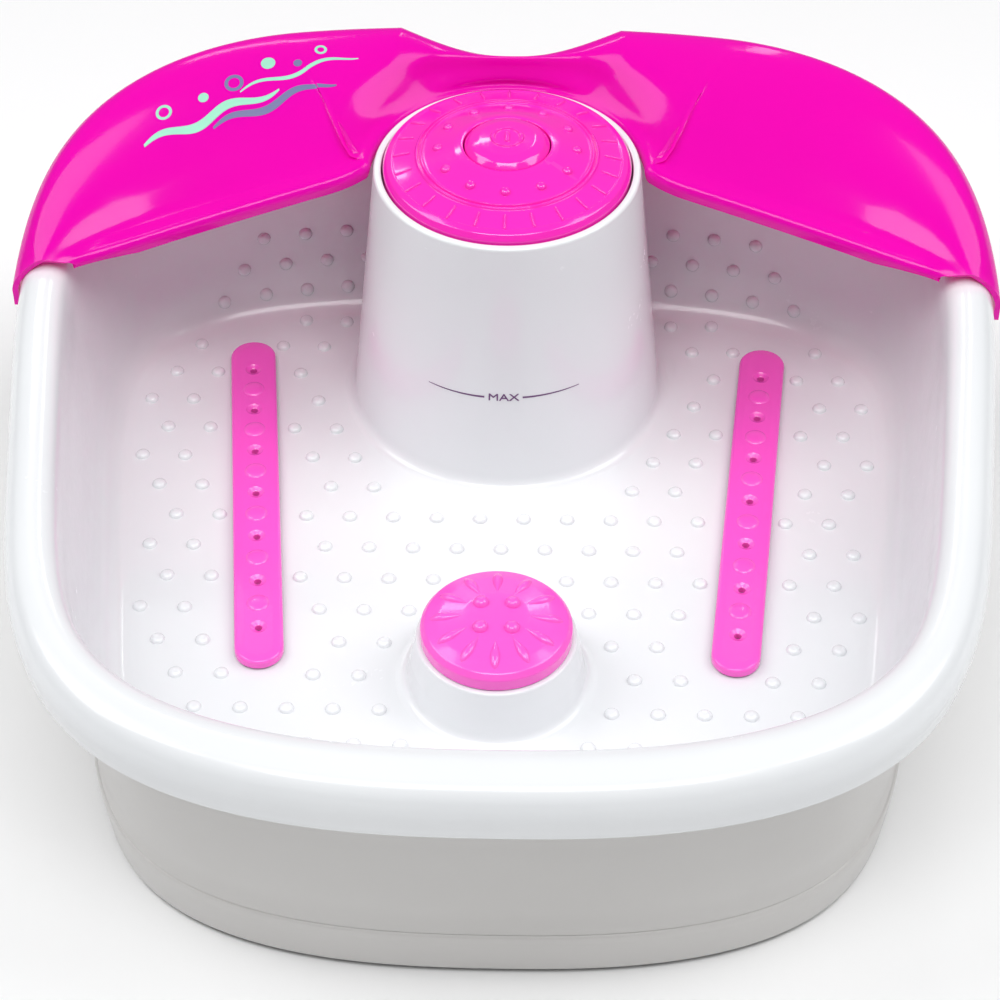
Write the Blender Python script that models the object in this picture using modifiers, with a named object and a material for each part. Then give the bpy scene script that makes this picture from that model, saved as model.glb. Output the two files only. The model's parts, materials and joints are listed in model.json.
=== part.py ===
"""Foot spa basin: a rolled-rim tub with a control tower, bubble strips, a lift-off
massage disc and splash guard, on a housing that holds the vibration motor and air pump.

Units are metres, +Z is up and +Y points to the rear, the splash guard's side. The
driving sizes are measured from the widest part of the foot well; at the end everything
is moved so that the origin lies on the floor under the middle of the whole object.
"""
import math

import bmesh
import bpy
from mathutils import Matrix, Vector

MM = 0.001
GAP = 0.3 * MM                      # clearance between pieces that touch

# --- plan of the basin ------------------------------------------------------
BODY_MIDDLE_Y = 7.7 * MM            # where the middle of the whole depth lies
RIM_HALF_WIDTH = 191.6 * MM         # half width at the origin
RIM_TAPER = 0.11                    # half width gained per metre towards the rear
RIM_FRONT = 192.0 * MM              # from the origin to the front of the rim
RIM_REAR = 205.0 * MM               # from the origin to the rear of the rim
RIM_POINTS = 48                     # points around every lofted ring
FRONT_WIDENING = 6.0 * MM           # how much wider the rim is at the front
REAR_COVE = 4.0 * MM                # how much wider the floor's cove is at the rear

# --- heights ----------------------------------------------------------------
FOOT_HEIGHT = 5.7 * MM
PLATE_BOTTOM = FOOT_HEIGHT + GAP
PLATE_THICK = 2.4 * MM
PLATE_TOP = PLATE_BOTTOM + PLATE_THICK
PLINTH_TOP = 24.4 * MM
FLOOR_TOP = 45.0 * MM
FLOOR_THICK = 3.4 * MM
FLOOR_UNDER = FLOOR_TOP - FLOOR_THICK
RIM_TOP = 130.0 * MM
SKIRT_DROP = 24.0 * MM              # from the rim's top to the edge of its skirt
WALL = 2.8 * MM                     # moulded wall of the tub

# --- control tower ----------------------------------------------------------
TOWER_TOP_RADIUS = 54.6 * MM
TOWER_REAR_MARGIN = 31.4 * MM       # from the tower's rear to the rear of the rim
TOWER_Y = RIM_REAR - TOWER_REAR_MARGIN - TOWER_TOP_RADIUS
TOWER_TAPER = 11.4 * MM
TOWER_FOOT_RADIUS = TOWER_TOP_RADIUS + TOWER_TAPER
TOWER_STAND = 32.0 * MM             # how far the tower stands above the rim
TOWER_TOP = RIM_TOP + TOWER_STAND
TOWER_FLARE = 7.0 * MM              # fillet where the tower meets the floor
COLLAR_WIDTH = 3.1 * MM
RECESS_DEPTH = 10.5 * MM
RECESS_RADIUS = TOWER_TOP_RADIUS - COLLAR_WIDTH
RECESS_FLOOR = TOWER_TOP - RECESS_DEPTH
DIAL_CLEARANCE = 0.7 * MM
DIAL_RADIUS = RECESS_RADIUS - DIAL_CLEARANCE
DIAL_STAND = 3.5 * MM
DIAL_TOP = TOWER_TOP + DIAL_STAND   # the dial's outer band
DIAL_CROWN = 8.6 * MM               # how far the dial rises from there to its well
HUB_RADIUS = 9.0 * MM
HUB_BORE = 7.2 * MM
BUTTON_RADIUS = 17.4 * MM
BUTTON_TRAVEL = 2.5 * MM
SWITCH_TOP = RECESS_FLOOR - 13.3 * MM
SWITCH_BORE_FLOOR = RECESS_FLOOR - 18.7 * MM
BOARD_TOP = RECESS_FLOOR - 19.9 * MM
BOARD_THICK = 1.6 * MM
BOARD_MARGIN = 13.5 * MM
BOARD_RADIUS = RECESS_RADIUS - BOARD_MARGIN
BOARD_SCREW_CIRCLE = BOARD_RADIUS - 8.0 * MM

# --- massage disc and its boss ------------------------------------------------
DISC_Y = -56.0 * MM
DISC_RADIUS = 29.5 * MM
BOSS_HEIGHT = 23.0 * MM
BOSS_LEDGE = 1.7 * MM
BOSS_TAPER = 6.8 * MM
BOSS_TOP = FLOOR_TOP + BOSS_HEIGHT
BOSS_TOP_RADIUS = DISC_RADIUS + BOSS_LEDGE
BOSS_FOOT_RADIUS = BOSS_TOP_RADIUS + BOSS_TAPER
SOCKET_RADIUS = 7.3 * MM
SOCKET_DEPTH = 14.0 * MM

# --- bubble strips ----------------------------------------------------------
STRIP_WIDTH = 19.5 * MM
STRIP_LENGTH = 195.0 * MM
STRIP_THICK = 4.0 * MM
STRIP_CENTRE = Vector((102.5 * MM, 42.0 * MM))
STRIP_SPLAY = math.radians(5.6)     # the strips open towards the rear
STRIP_HOLES = 7
STRIP_HOLE_PITCH = (STRIP_LENGTH - 39.0 * MM) / (STRIP_HOLES - 1)
STRIP_HOLE_RADIUS = 1.5 * MM
CHANNEL_WIDTH = STRIP_WIDTH - 10.5 * MM
CHANNEL_LENGTH = STRIP_LENGTH - 23.0 * MM
CHANNEL_DEPTH = 1.6 * MM
SEAL_WIDTH = 2.4 * MM

# --- splash guard -----------------------------------------------------------
GUARD_WALL = 2.4 * MM
GUARD_OUTSET = 3.4 * MM             # how far its skirt stands outside the rim
GUARD_LEAN = 12.0 * MM              # how far its rear edge leans in from the skirt
GUARD_END_Y = 86.0 * MM             # where its outer edge starts
GUARD_LIP_INSET = 16.1 * MM
GUARD_LIP_END = Vector((RIM_HALF_WIDTH - GUARD_LIP_INSET, 88.0 * MM))
GUARD_TOWER_GAP = 1.6 * MM
GUARD_END_Z = RIM_TOP + 2.6 * MM
GUARD_LIP_TOWER_Z = TOWER_TOP - 1.4 * MM
GUARD_REAR_Z = TOWER_TOP + 18.0 * MM
GUARD_LIP_DROP = 6.5 * MM
GUARD_BAND = 9.0 * MM               # the rolled border along the lip
GUARD_BAND_RISE = 6.0 * MM          # how far the border climbs behind the tower
GUARD_SKIRT_DROP = 18.0 * MM        # from the rim's top to the guard's lower edge
SCALLOP_HALF_WIDTH = 46.5 * MM
SCALLOP_DEPTH = 8.5 * MM
SCALLOP_DIP = 8.5 * MM              # how far the scallop's middle lies under its corners

# --- fasteners and feet -----------------------------------------------------
POST_RADIUS = 4.2 * MM
SCREW_SHANK = 1.5 * MM
SCREW_HEAD = 3.4 * MM
HOLE_SLACK = 0.3 * MM
BASE_SCREWS = [(118, -93), (135, 45), (84, 138)]    # right side, millimetres
FEET = [(112, -116), (114, 122)]                    # right side, millimetres
FOOT_RADIUS = 10.0 * MM

# --- drive units under the floor --------------------------------------------
MOTOR_Y = 0.0 * MM
MOTOR_Z = 25.3 * MM
MOTOR_RADIUS = 12.5 * MM
MOTOR_LENGTH = 44.0 * MM
SHAFT_RADIUS = 2.0 * MM
SHAFT_LENGTH = 72.0 * MM
WEIGHT_RADIUS = 10.0 * MM
WEIGHT_THICK = 8.0 * MM
PUMP_SIZE = Vector((72.0, 50.0, 25.3)) * MM
PUMP_CENTRE = Vector((0.0, 106.0, 8.7 + 25.3 / 2)) * MM
PUMP_WALL = 2.0 * MM
HOSE_RADIUS = 3.0 * MM
GLAND_Z = 33.0 * MM
GLAND_RADIUS = 5.6 * MM

FINISHES = {
    "white_plastic": ((0.88, 0.89, 0.90), 0.22, 0.0),
    "pink_plastic": ((1.0, 0.0, 0.42), 0.16, 0.0),
    "rubber": ((0.10, 0.10, 0.11), 0.75, 0.0),
    "steel": ((0.62, 0.62, 0.64), 0.30, 1.0),
    "copper": ((0.72, 0.36, 0.18), 0.35, 1.0),
    "board_green": ((0.05, 0.28, 0.12), 0.45, 0.0),
    "black_plastic": ((0.05, 0.05, 0.055), 0.40, 0.0),
    "clear_hose": ((0.80, 0.82, 0.82), 0.30, 0.0),
}


# --- scene helpers ----------------------------------------------------------
def clear_scene():
    for old in list(bpy.data.objects):
        bpy.data.objects.remove(old)


def collection(name):
    made = bpy.data.collections.new(name)
    bpy.context.scene.collection.children.link(made)
    return made


def material(part, finish):
    """A part's own material, with its finish's colour, roughness and metallic value."""
    colour, roughness, metallic = FINISHES[finish]
    made = bpy.data.materials.new(f"{part}_{finish}")
    made.use_nodes = True
    shader = made.node_tree.nodes["Principled BSDF"]
    shader.inputs["Base Color"].default_value = (*colour, 1.0)
    shader.inputs["Roughness"].default_value = roughness
    shader.inputs["Metallic"].default_value = metallic
    return made


def add_object(name, mesh, finish=None, at=(0, 0, 0)):
    """A part if it has a finish, and otherwise a cutter or a piece for a union."""
    made = bpy.data.objects.new(name, mesh)
    made.location = at
    if finish:
        PARTS.objects.link(made)
        made.data.materials.append(material(name, finish))
    else:
        CUTTERS.objects.link(made)
        made.hide_render = True
        made.display_type = "WIRE"
    return made


def mesh_from(name, bm):
    bmesh.ops.recalc_face_normals(bm, faces=bm.faces)
    mesh = bpy.data.meshes.new(name)
    bm.to_mesh(mesh)
    bm.free()
    return mesh


def smooth(part, degrees=35):
    part.data.shade_smooth()
    part.data.set_sharp_from_angle(angle=math.radians(degrees))
    return part


def boolean(part, other, operation):
    modifier = part.modifiers.new(operation.lower(), "BOOLEAN")
    modifier.operation = operation
    modifier.object = other
    return part


# --- shape helpers ----------------------------------------------------------
def turned(name, profile, segments, finish=None, at=(0, 0, 0), axis="Z", closed=True):
    """A profile of (radius, height) turned about the object's Z; closed is for a ring."""
    bm = bmesh.new()
    verts = [bm.verts.new((r, 0, z)) for r, z in profile]
    pairs = list(zip(verts, verts[1:]))
    if closed:
        pairs.append((verts[-1], verts[0]))
    for a, b in pairs:
        bm.edges.new((a, b))
    mesh = bpy.data.meshes.new(name)
    bm.to_mesh(mesh)
    bm.free()
    part = add_object(name, mesh, finish, at)
    if axis == "X":
        part.rotation_euler = (0, math.pi / 2, 0)
    if axis == "Y":
        part.rotation_euler = (-math.pi / 2, 0, 0)
    screw = part.modifiers.new("turn", "SCREW")
    screw.steps = segments
    screw.render_steps = segments
    screw.use_merge_vertices = True
    screw.merge_threshold = 1e-5
    screw.use_smooth_shade = True
    return part


def rod(name, radius, low, high, segments=12, finish=None, at=(0, 0, 0), axis="Z"):
    profile = [(0, high), (radius, high), (radius, low), (0, low)]
    return turned(name, profile, segments, finish, at, axis, closed=False)


def tube(name, outer, inner, low, high, segments=16, finish=None, at=(0, 0, 0), axis="Z"):
    profile = [(inner, high), (outer, high), (outer, low), (inner, low)]
    return turned(name, profile, segments, finish, at, axis)


def box(name, low, high, finish=None, origin=(0, 0, 0)):
    """A box between two world corners, with its origin at the given point."""
    bm = bmesh.new()
    low, high, origin = Vector(low), Vector(high), Vector(origin)
    size = high - low
    move = Matrix.Translation((low + high) / 2 - origin) @ Matrix.Diagonal((*size, 1))
    bmesh.ops.create_cube(bm, size=1.0, matrix=move)
    return add_object(name, mesh_from(name, bm), finish, origin)


def cylinders(name, places, radius, low, high, segments=10):
    """Several upright cylinders in one helper mesh."""
    bm = bmesh.new()
    for x, y in places:
        move = Matrix.Translation((x, y, (low + high) / 2))
        bmesh.ops.create_cone(bm, cap_ends=True, segments=segments, radius1=radius,
                              radius2=radius, depth=high - low, matrix=move)
    return add_object(name, mesh_from(name, bm))


def pipe(name, points, radius, finish, sides=2):
    """A tube along the points; its caps are welded, so it is one closed body."""
    curve = bpy.data.curves.new(name, "CURVE")
    curve.dimensions = "3D"
    curve.bevel_depth = radius
    curve.bevel_resolution = sides
    curve.use_fill_caps = True
    spline = curve.splines.new("POLY")
    spline.points.add(len(points) - 1)
    for point, place in zip(spline.points, points):
        point.co = (*place, 1.0)
    part = bpy.data.objects.new(name, curve)
    PARTS.objects.link(part)
    curve.materials.append(material(name, finish))
    return part


def smooth_route(points, steps=5):
    """Points along a Catmull-Rom curve through the route's own points."""
    points = [Vector(p) * MM for p in points]
    ends = [2 * points[0] - points[1], *points, 2 * points[-1] - points[-2]]
    route = []
    for a, b, c, d in zip(ends, ends[1:], ends[2:], ends[3:]):
        for k in range(steps):
            t = k / steps
            route.append(0.5 * (2 * b + (c - a) * t + (2 * a - 5 * b + 4 * c - d) * t ** 2
                                + (3 * b - a - 3 * c + d) * t ** 3))
    return [*route, points[-1]]


def resampled(points, count):
    """The polyline cut into count equal steps, with both ends kept."""
    lengths = [0.0]
    for a, b in zip(points, points[1:]):
        lengths.append(lengths[-1] + (b - a).length)
    found, k = [], 0
    for i in range(count + 1):
        want = lengths[-1] * i / count
        while k < len(points) - 2 and lengths[k + 1] < want:
            k += 1
        share = (want - lengths[k]) / max(lengths[k + 1] - lengths[k], 1e-12)
        found.append(points[k].lerp(points[k + 1], share))
    return found


def rim_half_curve(steps=400):
    """The right half of the rim's plan, from the front middle to the rear middle."""
    curve = []
    for k in range(steps + 1):
        share = -math.cos(math.pi * k / steps)
        y = share * (RIM_FRONT if share < 0 else RIM_REAR)
        width = RIM_HALF_WIDTH + RIM_TAPER * y
        curve.append(Vector((width * max(0.0, 1 - abs(share) ** 4.4) ** 0.4, y)))
    return curve


def ring(inset, count=RIM_POINTS, basin=False):
    """The rim's plan moved inwards by inset, anticlockwise from the front middle.

    In the basin itself the front of the rim and the rear of the floor take more room.
    """
    half = resampled(rim_half_curve(), count // 2)
    plan = half + [Vector((-p.x, p.y)) for p in half[-2:0:-1]]
    moved = []
    for k, point in enumerate(plan):
        along = plan[(k + 1) % len(plan)] - plan[k - 1]
        inward = Vector((-along.y, along.x)).normalized()
        extra = 0.0
        if basin and inward.y > 0:
            extra = FRONT_WIDENING * min(1, max(0, (inset - 6 * MM) / (12 * MM)))
        elif basin:
            extra = REAR_COVE * min(1, max(0, (inset - 24 * MM) / (20 * MM)))
        moved.append(point + inward * (inset + extra * inward.y ** 2))
    return moved


def rear_wall_y(inset):
    """Where the rear wall lies, in Y, at that inset from the rim."""
    return RIM_REAR - inset


def ring_loft(name, sections, finish, capped, basin=False):
    """Rings of the rim's plan at (inset, height) in millimetres, joined in order."""
    bm = bmesh.new()
    loops = [[bm.verts.new((p.x, p.y, z * MM)) for p in ring(inset * MM, basin=basin)]
             for inset, z in sections]
    pairs = list(zip(loops, loops[1:]))
    if capped:
        bm.faces.new(loops[0])
        bm.faces.new(loops[-1])
    else:
        pairs.append((loops[-1], loops[0]))
    for low, high in pairs:
        for k in range(RIM_POINTS):
            m = (k + 1) % RIM_POINTS
            bm.faces.new((low[k], low[m], high[m], high[k]))
    return smooth(add_object(name, mesh_from(name, bm), finish))


def mirrored(places):
    """Millimetre places on the right side, with their copies on the left, in metres."""
    right = [(x * MM, y * MM) for x, y in places]
    return right + [(-x, y) for x, y in right]


def strip_matrix(side):
    """The frame of the strip on that side, +1 right or -1 left, at the floor's top."""
    turn = Matrix.Rotation(-side * STRIP_SPLAY, 4, "Z")
    return Matrix.Translation((side * STRIP_CENTRE.x, STRIP_CENTRE.y, FLOOR_TOP)) @ turn


def rounded_bar(name, width, length, low, high, matrix, finish=None, arc=5):
    """A bar with round ends along its own Y."""
    bm = bmesh.new()
    radius, reach = width / 2, length / 2 - width / 2
    outline = []
    for end in (1, -1):
        for k in range(arc + 1):
            turn = math.pi * k / arc + (0 if end == 1 else math.pi)
            outline.append((radius * math.cos(turn), end * reach + radius * math.sin(turn)))
    bottom = [bm.verts.new((x, y, low)) for x, y in outline]
    top = [bm.verts.new((x, y, high)) for x, y in outline]
    bm.faces.new(bottom)
    bm.faces.new(top)
    for k in range(len(outline)):
        m = (k + 1) % len(outline)
        bm.faces.new((bottom[k], bottom[m], top[m], top[k]))
    part = add_object(name, mesh_from(name, bm), finish)
    part.matrix_world = matrix
    return part


# --- the tub ----------------------------------------------------------------
def tower_radius(z):
    """The tower's outer radius at a height."""
    share = (z - FLOOR_TOP) / (TOWER_TOP - FLOOR_TOP)
    return TOWER_FOOT_RADIUS + share * (TOWER_TOP_RADIUS - TOWER_FOOT_RADIUS)


def tower_body():
    """The tower's cone, with a flared foot, the dial's recess and the hub's bore."""
    foot, edge = FLOOR_TOP + TOWER_FLARE * 0.9, tower_radius(TOWER_TOP)
    low, wide = FLOOR_TOP - 2 * MM, tower_radius(FLOOR_TOP) + TOWER_FLARE
    bore = HUB_RADIUS + GAP
    profile = [(bore, RECESS_FLOOR), (RECESS_RADIUS, RECESS_FLOOR), (RECESS_RADIUS, TOWER_TOP),
               (edge - 1.6 * MM, TOWER_TOP), (edge - 0.5 * MM, TOWER_TOP - 0.5 * MM),
               (edge, TOWER_TOP - 1.6 * MM), (tower_radius(foot), foot),
               (tower_radius(foot) + TOWER_FLARE * 0.25, FLOOR_TOP + TOWER_FLARE * 0.3),
               (wide, FLOOR_TOP - 0.4 * MM), (wide, low), (bore, low)]
    body = turned("tower_body", profile, 36, at=(0, TOWER_Y, 0))
    return boolean(body, behind_block("behind_tower", 0), "DIFFERENCE")


def tower_cavity():
    """The hollow inside the tower, open to the space under the floor."""
    low, high = FLOOR_TOP - 14 * MM, RECESS_FLOOR - WALL
    profile = [(0, high), (tower_radius(high) - WALL, high), (tower_radius(low) - WALL, low),
               (0, low)]
    cavity = turned("tower_cavity", profile, 32, at=(0, TOWER_Y, 0), closed=False)
    return boolean(cavity, behind_block("behind_cavity", WALL), "DIFFERENCE")


def prism(name, outline, half):
    """An outline of (y, z) drawn out to half each way in X."""
    bm = bmesh.new()
    sides = [[bm.verts.new((x, y, z)) for y, z in outline] for x in (-half, half)]
    for side in sides:
        bm.faces.new(side)
    for k in range(len(outline)):
        m = (k + 1) % len(outline)
        bm.faces.new((sides[0][k], sides[0][m], sides[1][m], sides[1][k]))
    return add_object(name, mesh_from(name, bm))


def mid_wall(inset):
    """Points (y, z) up the middle of the tub's rear wall, moved in by inset."""
    places = [(37, on_floor(-25)), (34, on_floor(1.5)), (30.6, on_floor(8)),
              (27.2, up_wall(0.2)), (21.4, up_wall(0.66)), (18.5, under_rim(2))]
    return [(RIM_REAR - a * MM - inset, z * MM) for a, z in places]


def behind_block(name, inset):
    """What lies behind the tub's rear wall."""
    wall = mid_wall(inset)
    top_y = wall[-1][0]
    return prism(name, [*wall, (top_y, 0.2), (0.3, 0.2), (0.3, wall[0][1])], 0.2)


def tower_web():
    """The bridge that joins the back of the tower to the rear wall."""
    wall = mid_wall(-0.5 * MM)[1:-1]
    front = TOWER_Y + 30 * MM
    return prism("tower_web", [*wall, (front, wall[-1][1]), (front, wall[0][1])], 40 * MM)


def board_screw_places():
    turns = [math.radians(90 + 120 * k) for k in range(3)]
    return [(BOARD_SCREW_CIRCLE * math.cos(t), TOWER_Y + BOARD_SCREW_CIRCLE * math.sin(t))
            for t in turns]


def bracket_screw_places():
    return [(0, MOTOR_Y - 21 * MM), (0, MOTOR_Y + 21 * MM)]


def nipple_places():
    return [(side * STRIP_CENTRE.x, STRIP_CENTRE.y) for side in (1, -1)]


def on_floor(rise):
    """A height in millimetres, given from the floor's top."""
    return FLOOR_TOP / MM + rise


def under_rim(drop):
    """A height in millimetres, given down from the rim's top."""
    return RIM_TOP / MM - drop


def up_wall(share):
    """A height in millimetres, given as a share of the way from the floor to the rim."""
    return (FLOOR_TOP + share * (RIM_TOP - FLOOR_TOP)) / MM


def make_tub():
    wet = [(44, on_floor(0)), (36, on_floor(1.6)), (29.5, on_floor(9)), (22.6, up_wall(0.66)),
           (20.6, under_rim(9)), (18.6, under_rim(3.4)), (15, under_rim(0.8)),
           (10.5, under_rim(0)), (5.2, under_rim(1.5)), (1.6, under_rim(5.5)),
           (0, under_rim(12)), (1.5, under_rim(SKIRT_DROP / MM))]
    dry = [(4.3, under_rim(SKIRT_DROP / MM)), (3, under_rim(14)), (5.2, under_rim(5.6)),
           (11, under_rim(2.8)), (15.6, under_rim(4.6)), (17.8, under_rim(9)),
           (19.8, up_wall(0.66)), (26.7, on_floor(6.6)), (33.6, on_floor(-1.4)),
           (42, on_floor(-3.4))]
    tub = ring_loft("tub", wet + dry, "white_plastic", capped=True, basin=True)
    boolean(tub, tower_body(), "UNION")
    boolean(tub, tower_web(), "UNION")
    socket_floor = BOSS_TOP - SOCKET_DEPTH
    boss = [(0, socket_floor), (SOCKET_RADIUS, socket_floor), (SOCKET_RADIUS, BOSS_TOP),
            (BOSS_TOP_RADIUS - 0.8 * MM, BOSS_TOP),
            (BOSS_TOP_RADIUS, BOSS_TOP - 0.8 * MM),
            (BOSS_TOP_RADIUS + 2 * MM, FLOOR_TOP + 12 * MM),
            (BOSS_FOOT_RADIUS - 2.6 * MM, FLOOR_TOP + 3 * MM),
            (BOSS_FOOT_RADIUS + 1 * MM, FLOOR_TOP - 0.4 * MM),
            (BOSS_FOOT_RADIUS + 1 * MM, FLOOR_TOP - 2 * MM), (0, FLOOR_TOP - 2 * MM)]
    boolean(tub, turned("boss_body", boss, 26, at=(0, DISC_Y, 0), closed=False), "UNION")
    boolean(tub, tower_cavity(), "DIFFERENCE")
    hollow = tube("boss_hollow", BOSS_TOP_RADIUS - 3.6 * MM, SOCKET_RADIUS + 2.6 * MM,
                  0.03, BOSS_TOP - 3.2 * MM, 24, at=(0, DISC_Y, 0))
    boolean(tub, hollow, "DIFFERENCE")
    add_tub_posts(tub)
    for side in (1, -1):
        channel = rounded_bar(f"air_channel_{side}", CHANNEL_WIDTH, CHANNEL_LENGTH,
                              -CHANNEL_DEPTH, 0.02, strip_matrix(side))
        boolean(tub, channel, "DIFFERENCE")
    air_ways = cylinders("air_ways", nipple_places(), 1.8 * MM, 0.03, FLOOR_TOP - 0.5 * MM, 8)
    boolean(tub, air_ways, "DIFFERENCE")
    return tub


def add_tub_posts(tub):
    """Screw posts under the floor, and three that hang from the tower's top wall."""
    base = cylinders("base_posts", mirrored(BASE_SCREWS), POST_RADIUS, PLATE_TOP + GAP,
                     FLOOR_UNDER + 1 * MM)
    bracket = cylinders("bracket_posts", bracket_screw_places(), POST_RADIUS, 40.5 * MM,
                        FLOOR_UNDER + 1 * MM)
    board = cylinders("board_posts", board_screw_places(), 3.2 * MM, BOARD_TOP + GAP,
                      RECESS_FLOOR - 1 * MM)
    nipples = cylinders("air_nipples", nipple_places(), HOSE_RADIUS, 34 * MM,
                        FLOOR_UNDER + 1 * MM, 12)
    for posts in (base, bracket, board, nipples):
        boolean(tub, posts, "UNION")
    pilot = SCREW_SHANK + HOLE_SLACK
    holes = [cylinders("base_pilots", mirrored(BASE_SCREWS), pilot, 0, 22 * MM, 8),
             cylinders("bracket_pilots", bracket_screw_places(), pilot, 0.03,
                       FLOOR_TOP - 1.2 * MM, 8),
             cylinders("board_pilots", board_screw_places(), 1.3 * MM, BOARD_TOP - 5 * MM,
                       RECESS_FLOOR - 10.5 * MM, 8)]
    for hole in holes:
        boolean(tub, hole, "DIFFERENCE")


# --- housing and feet ---------------------------------------------------------
def make_outer_shell():
    top, low = under_rim(5), PLINTH_TOP / MM + GAP / MM
    outside = [(12.5, top), (14.2, under_rim(22)), (21.4, low + 40), (24.0, low + 14),
               (25.4, low + 6.5), (24.4, low)]
    inside = [(27.1, low), (27.9, low + 6), (26.4, low + 14), (23.8, low + 40),
              (16.6, under_rim(22)), (14.9, top)]
    shell = ring_loft("outer_shell", outside + inside, "white_plastic", capped=False)
    gland_hole = rod("gland_hole", GLAND_RADIUS + GAP, 0.14, 0.2, 16, at=(0, 0, GLAND_Z), axis="Y")
    return boolean(shell, gland_hole, "DIFFERENCE")


def make_base_pan():
    plate_top, plate_low = PLATE_TOP / MM, PLATE_BOTTOM / MM
    ledge = PLINTH_TOP / MM
    tray = [(31, plate_top), (27.4, plate_top + 1), (27.2, ledge), (24.6, ledge),
            (24.2, ledge - 2), (25.4, 3.4), (26.8, 2.0), (28.4, 2.0), (29, plate_low)]
    pan = ring_loft("base_pan", tray, "white_plastic", capped=True)
    screws = cylinders("base_screw_holes", mirrored(BASE_SCREWS), SCREW_SHANK + HOLE_SLACK,
                       0, 0.02, 8)
    feet = cylinders("foot_holes", mirrored(FEET), 3.3 * MM, 0, 0.02, 12)
    boolean(pan, screws, "DIFFERENCE")
    boolean(pan, feet, "DIFFERENCE")
    return boolean(pan, vent_slots(), "DIFFERENCE")


def vent_slots():
    """Air inlet slots in the base plate, beneath the pump and the motor."""
    bm = bmesh.new()
    slot = Vector((34, 3.0, 20)) * MM
    for row in range(4):
        for middle in (PUMP_CENTRE.y - 44 * MM, MOTOR_Y - 30 * MM):
            y = middle + row * 6 * MM
            move = Matrix.Translation((0, y, 0)) @ Matrix.Diagonal((*slot, 1))
            bmesh.ops.create_cube(bm, size=1.0, matrix=move)
    return add_object("vent_slots", mesh_from("vent_slots", bm))


def make_feet():
    """Rubber feet whose barbed pegs are pulled through the base plate."""
    top = FOOT_HEIGHT
    profile = [(0, PLATE_TOP + 2.6 * MM), (2.4 * MM, PLATE_TOP + 2.6 * MM),
               (4.1 * MM, PLATE_TOP + GAP), (3.0 * MM, PLATE_TOP + GAP), (3.0 * MM, top),
               (FOOT_RADIUS - 1 * MM, top), (FOOT_RADIUS, 1.0 * MM),
               (FOOT_RADIUS - 0.8 * MM, 0), (0, 0)]
    for k, (x, y) in enumerate(mirrored(FEET), 1):
        turned(f"rubber_foot_{k}", profile, 14, "rubber", (x, y, 0), closed=False)


def make_screw(name, place, head_low, shank_top, head=SCREW_HEAD, shank=SCREW_SHANK):
    """A pan-head screw that points up; its head's underside lies 2.1 mm above head_low."""
    seat = head_low + 2.1 * MM
    profile = [(0, shank_top), (shank * 0.6, shank_top), (shank, shank_top - 1.5 * MM),
               (shank, seat), (head, seat), (head * 0.8, head_low), (0, head_low)]
    turned(name, profile, 10, "steel", (*place, 0), closed=False)


def make_screws():
    for k, place in enumerate(mirrored(BASE_SCREWS), 1):
        make_screw(f"base_screw_{k}", place, PLATE_BOTTOM - GAP - 2.1 * MM, 20 * MM)
    for k, place in enumerate(bracket_screw_places(), 1):
        make_screw(f"bracket_screw_{k}", place, 35.8 * MM, 43.4 * MM, 2.8 * MM, 1.5 * MM)
    for k, place in enumerate(board_screw_places(), 1):
        head_low = BOARD_TOP - BOARD_THICK - GAP - 2.1 * MM
        make_screw(f"board_screw_{k}", place, head_low, BOARD_TOP + 7 * MM, 2.4 * MM, 1.0 * MM)


def make_gland():
    """The bush in the rear wall that the mains cord would enter through."""
    wall = rear_wall_y(24.8 * MM)
    profile = [(2.6, 7.4), (4.6, 7.4), (6.2, 4.6), (7.6, 3.8), (7.6, 2.0), (5.6, 1.9),
               (5.6, -4.0), (2.6, -4.0)]
    profile = [(r * MM, z * MM) for r, z in profile]
    turned("cord_gland", profile, 16, "rubber", (0, wall, GLAND_Z), axis="Y")


# --- bubble strips ------------------------------------------------------------
def make_strip(side, word):
    """A bar with a crowned top, a row of air holes and a rubber seal under it."""
    frame = strip_matrix(side)
    seal_top = 0.9 * MM
    bar = rounded_bar(f"bubble_strip_{word}", STRIP_WIDTH, STRIP_LENGTH, seal_top + GAP,
                      seal_top + STRIP_THICK, frame, "pink_plastic")
    bevel = bar.modifiers.new("crown", "BEVEL")
    bevel.width = 1.2 * MM
    bevel.segments = 2
    bevel.limit_method = "ANGLE"
    bevel.angle_limit = math.radians(50)
    bm = bmesh.new()
    for k in range(STRIP_HOLES):
        y = (k - (STRIP_HOLES - 1) / 2) * STRIP_HOLE_PITCH
        bmesh.ops.create_cone(bm, cap_ends=True, segments=8, radius1=STRIP_HOLE_RADIUS,
                              radius2=STRIP_HOLE_RADIUS, depth=0.03,
                              matrix=Matrix.Translation((0, y, 0)))
    holes = add_object(f"strip_holes_{word}", mesh_from("strip_holes", bm))
    holes.matrix_world = frame
    boolean(bar, holes, "DIFFERENCE")
    seal = rounded_bar(f"strip_seal_{word}", STRIP_WIDTH - 2 * MM, STRIP_LENGTH - 2 * MM,
                       GAP, seal_top, frame, "rubber", arc=4)
    inner = rounded_bar(f"seal_opening_{word}", STRIP_WIDTH - 2 * MM - 2 * SEAL_WIDTH,
                        STRIP_LENGTH - 2 * MM - 2 * SEAL_WIDTH, -0.01, 0.01, frame, arc=4)
    boolean(seal, inner, "DIFFERENCE")


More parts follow.
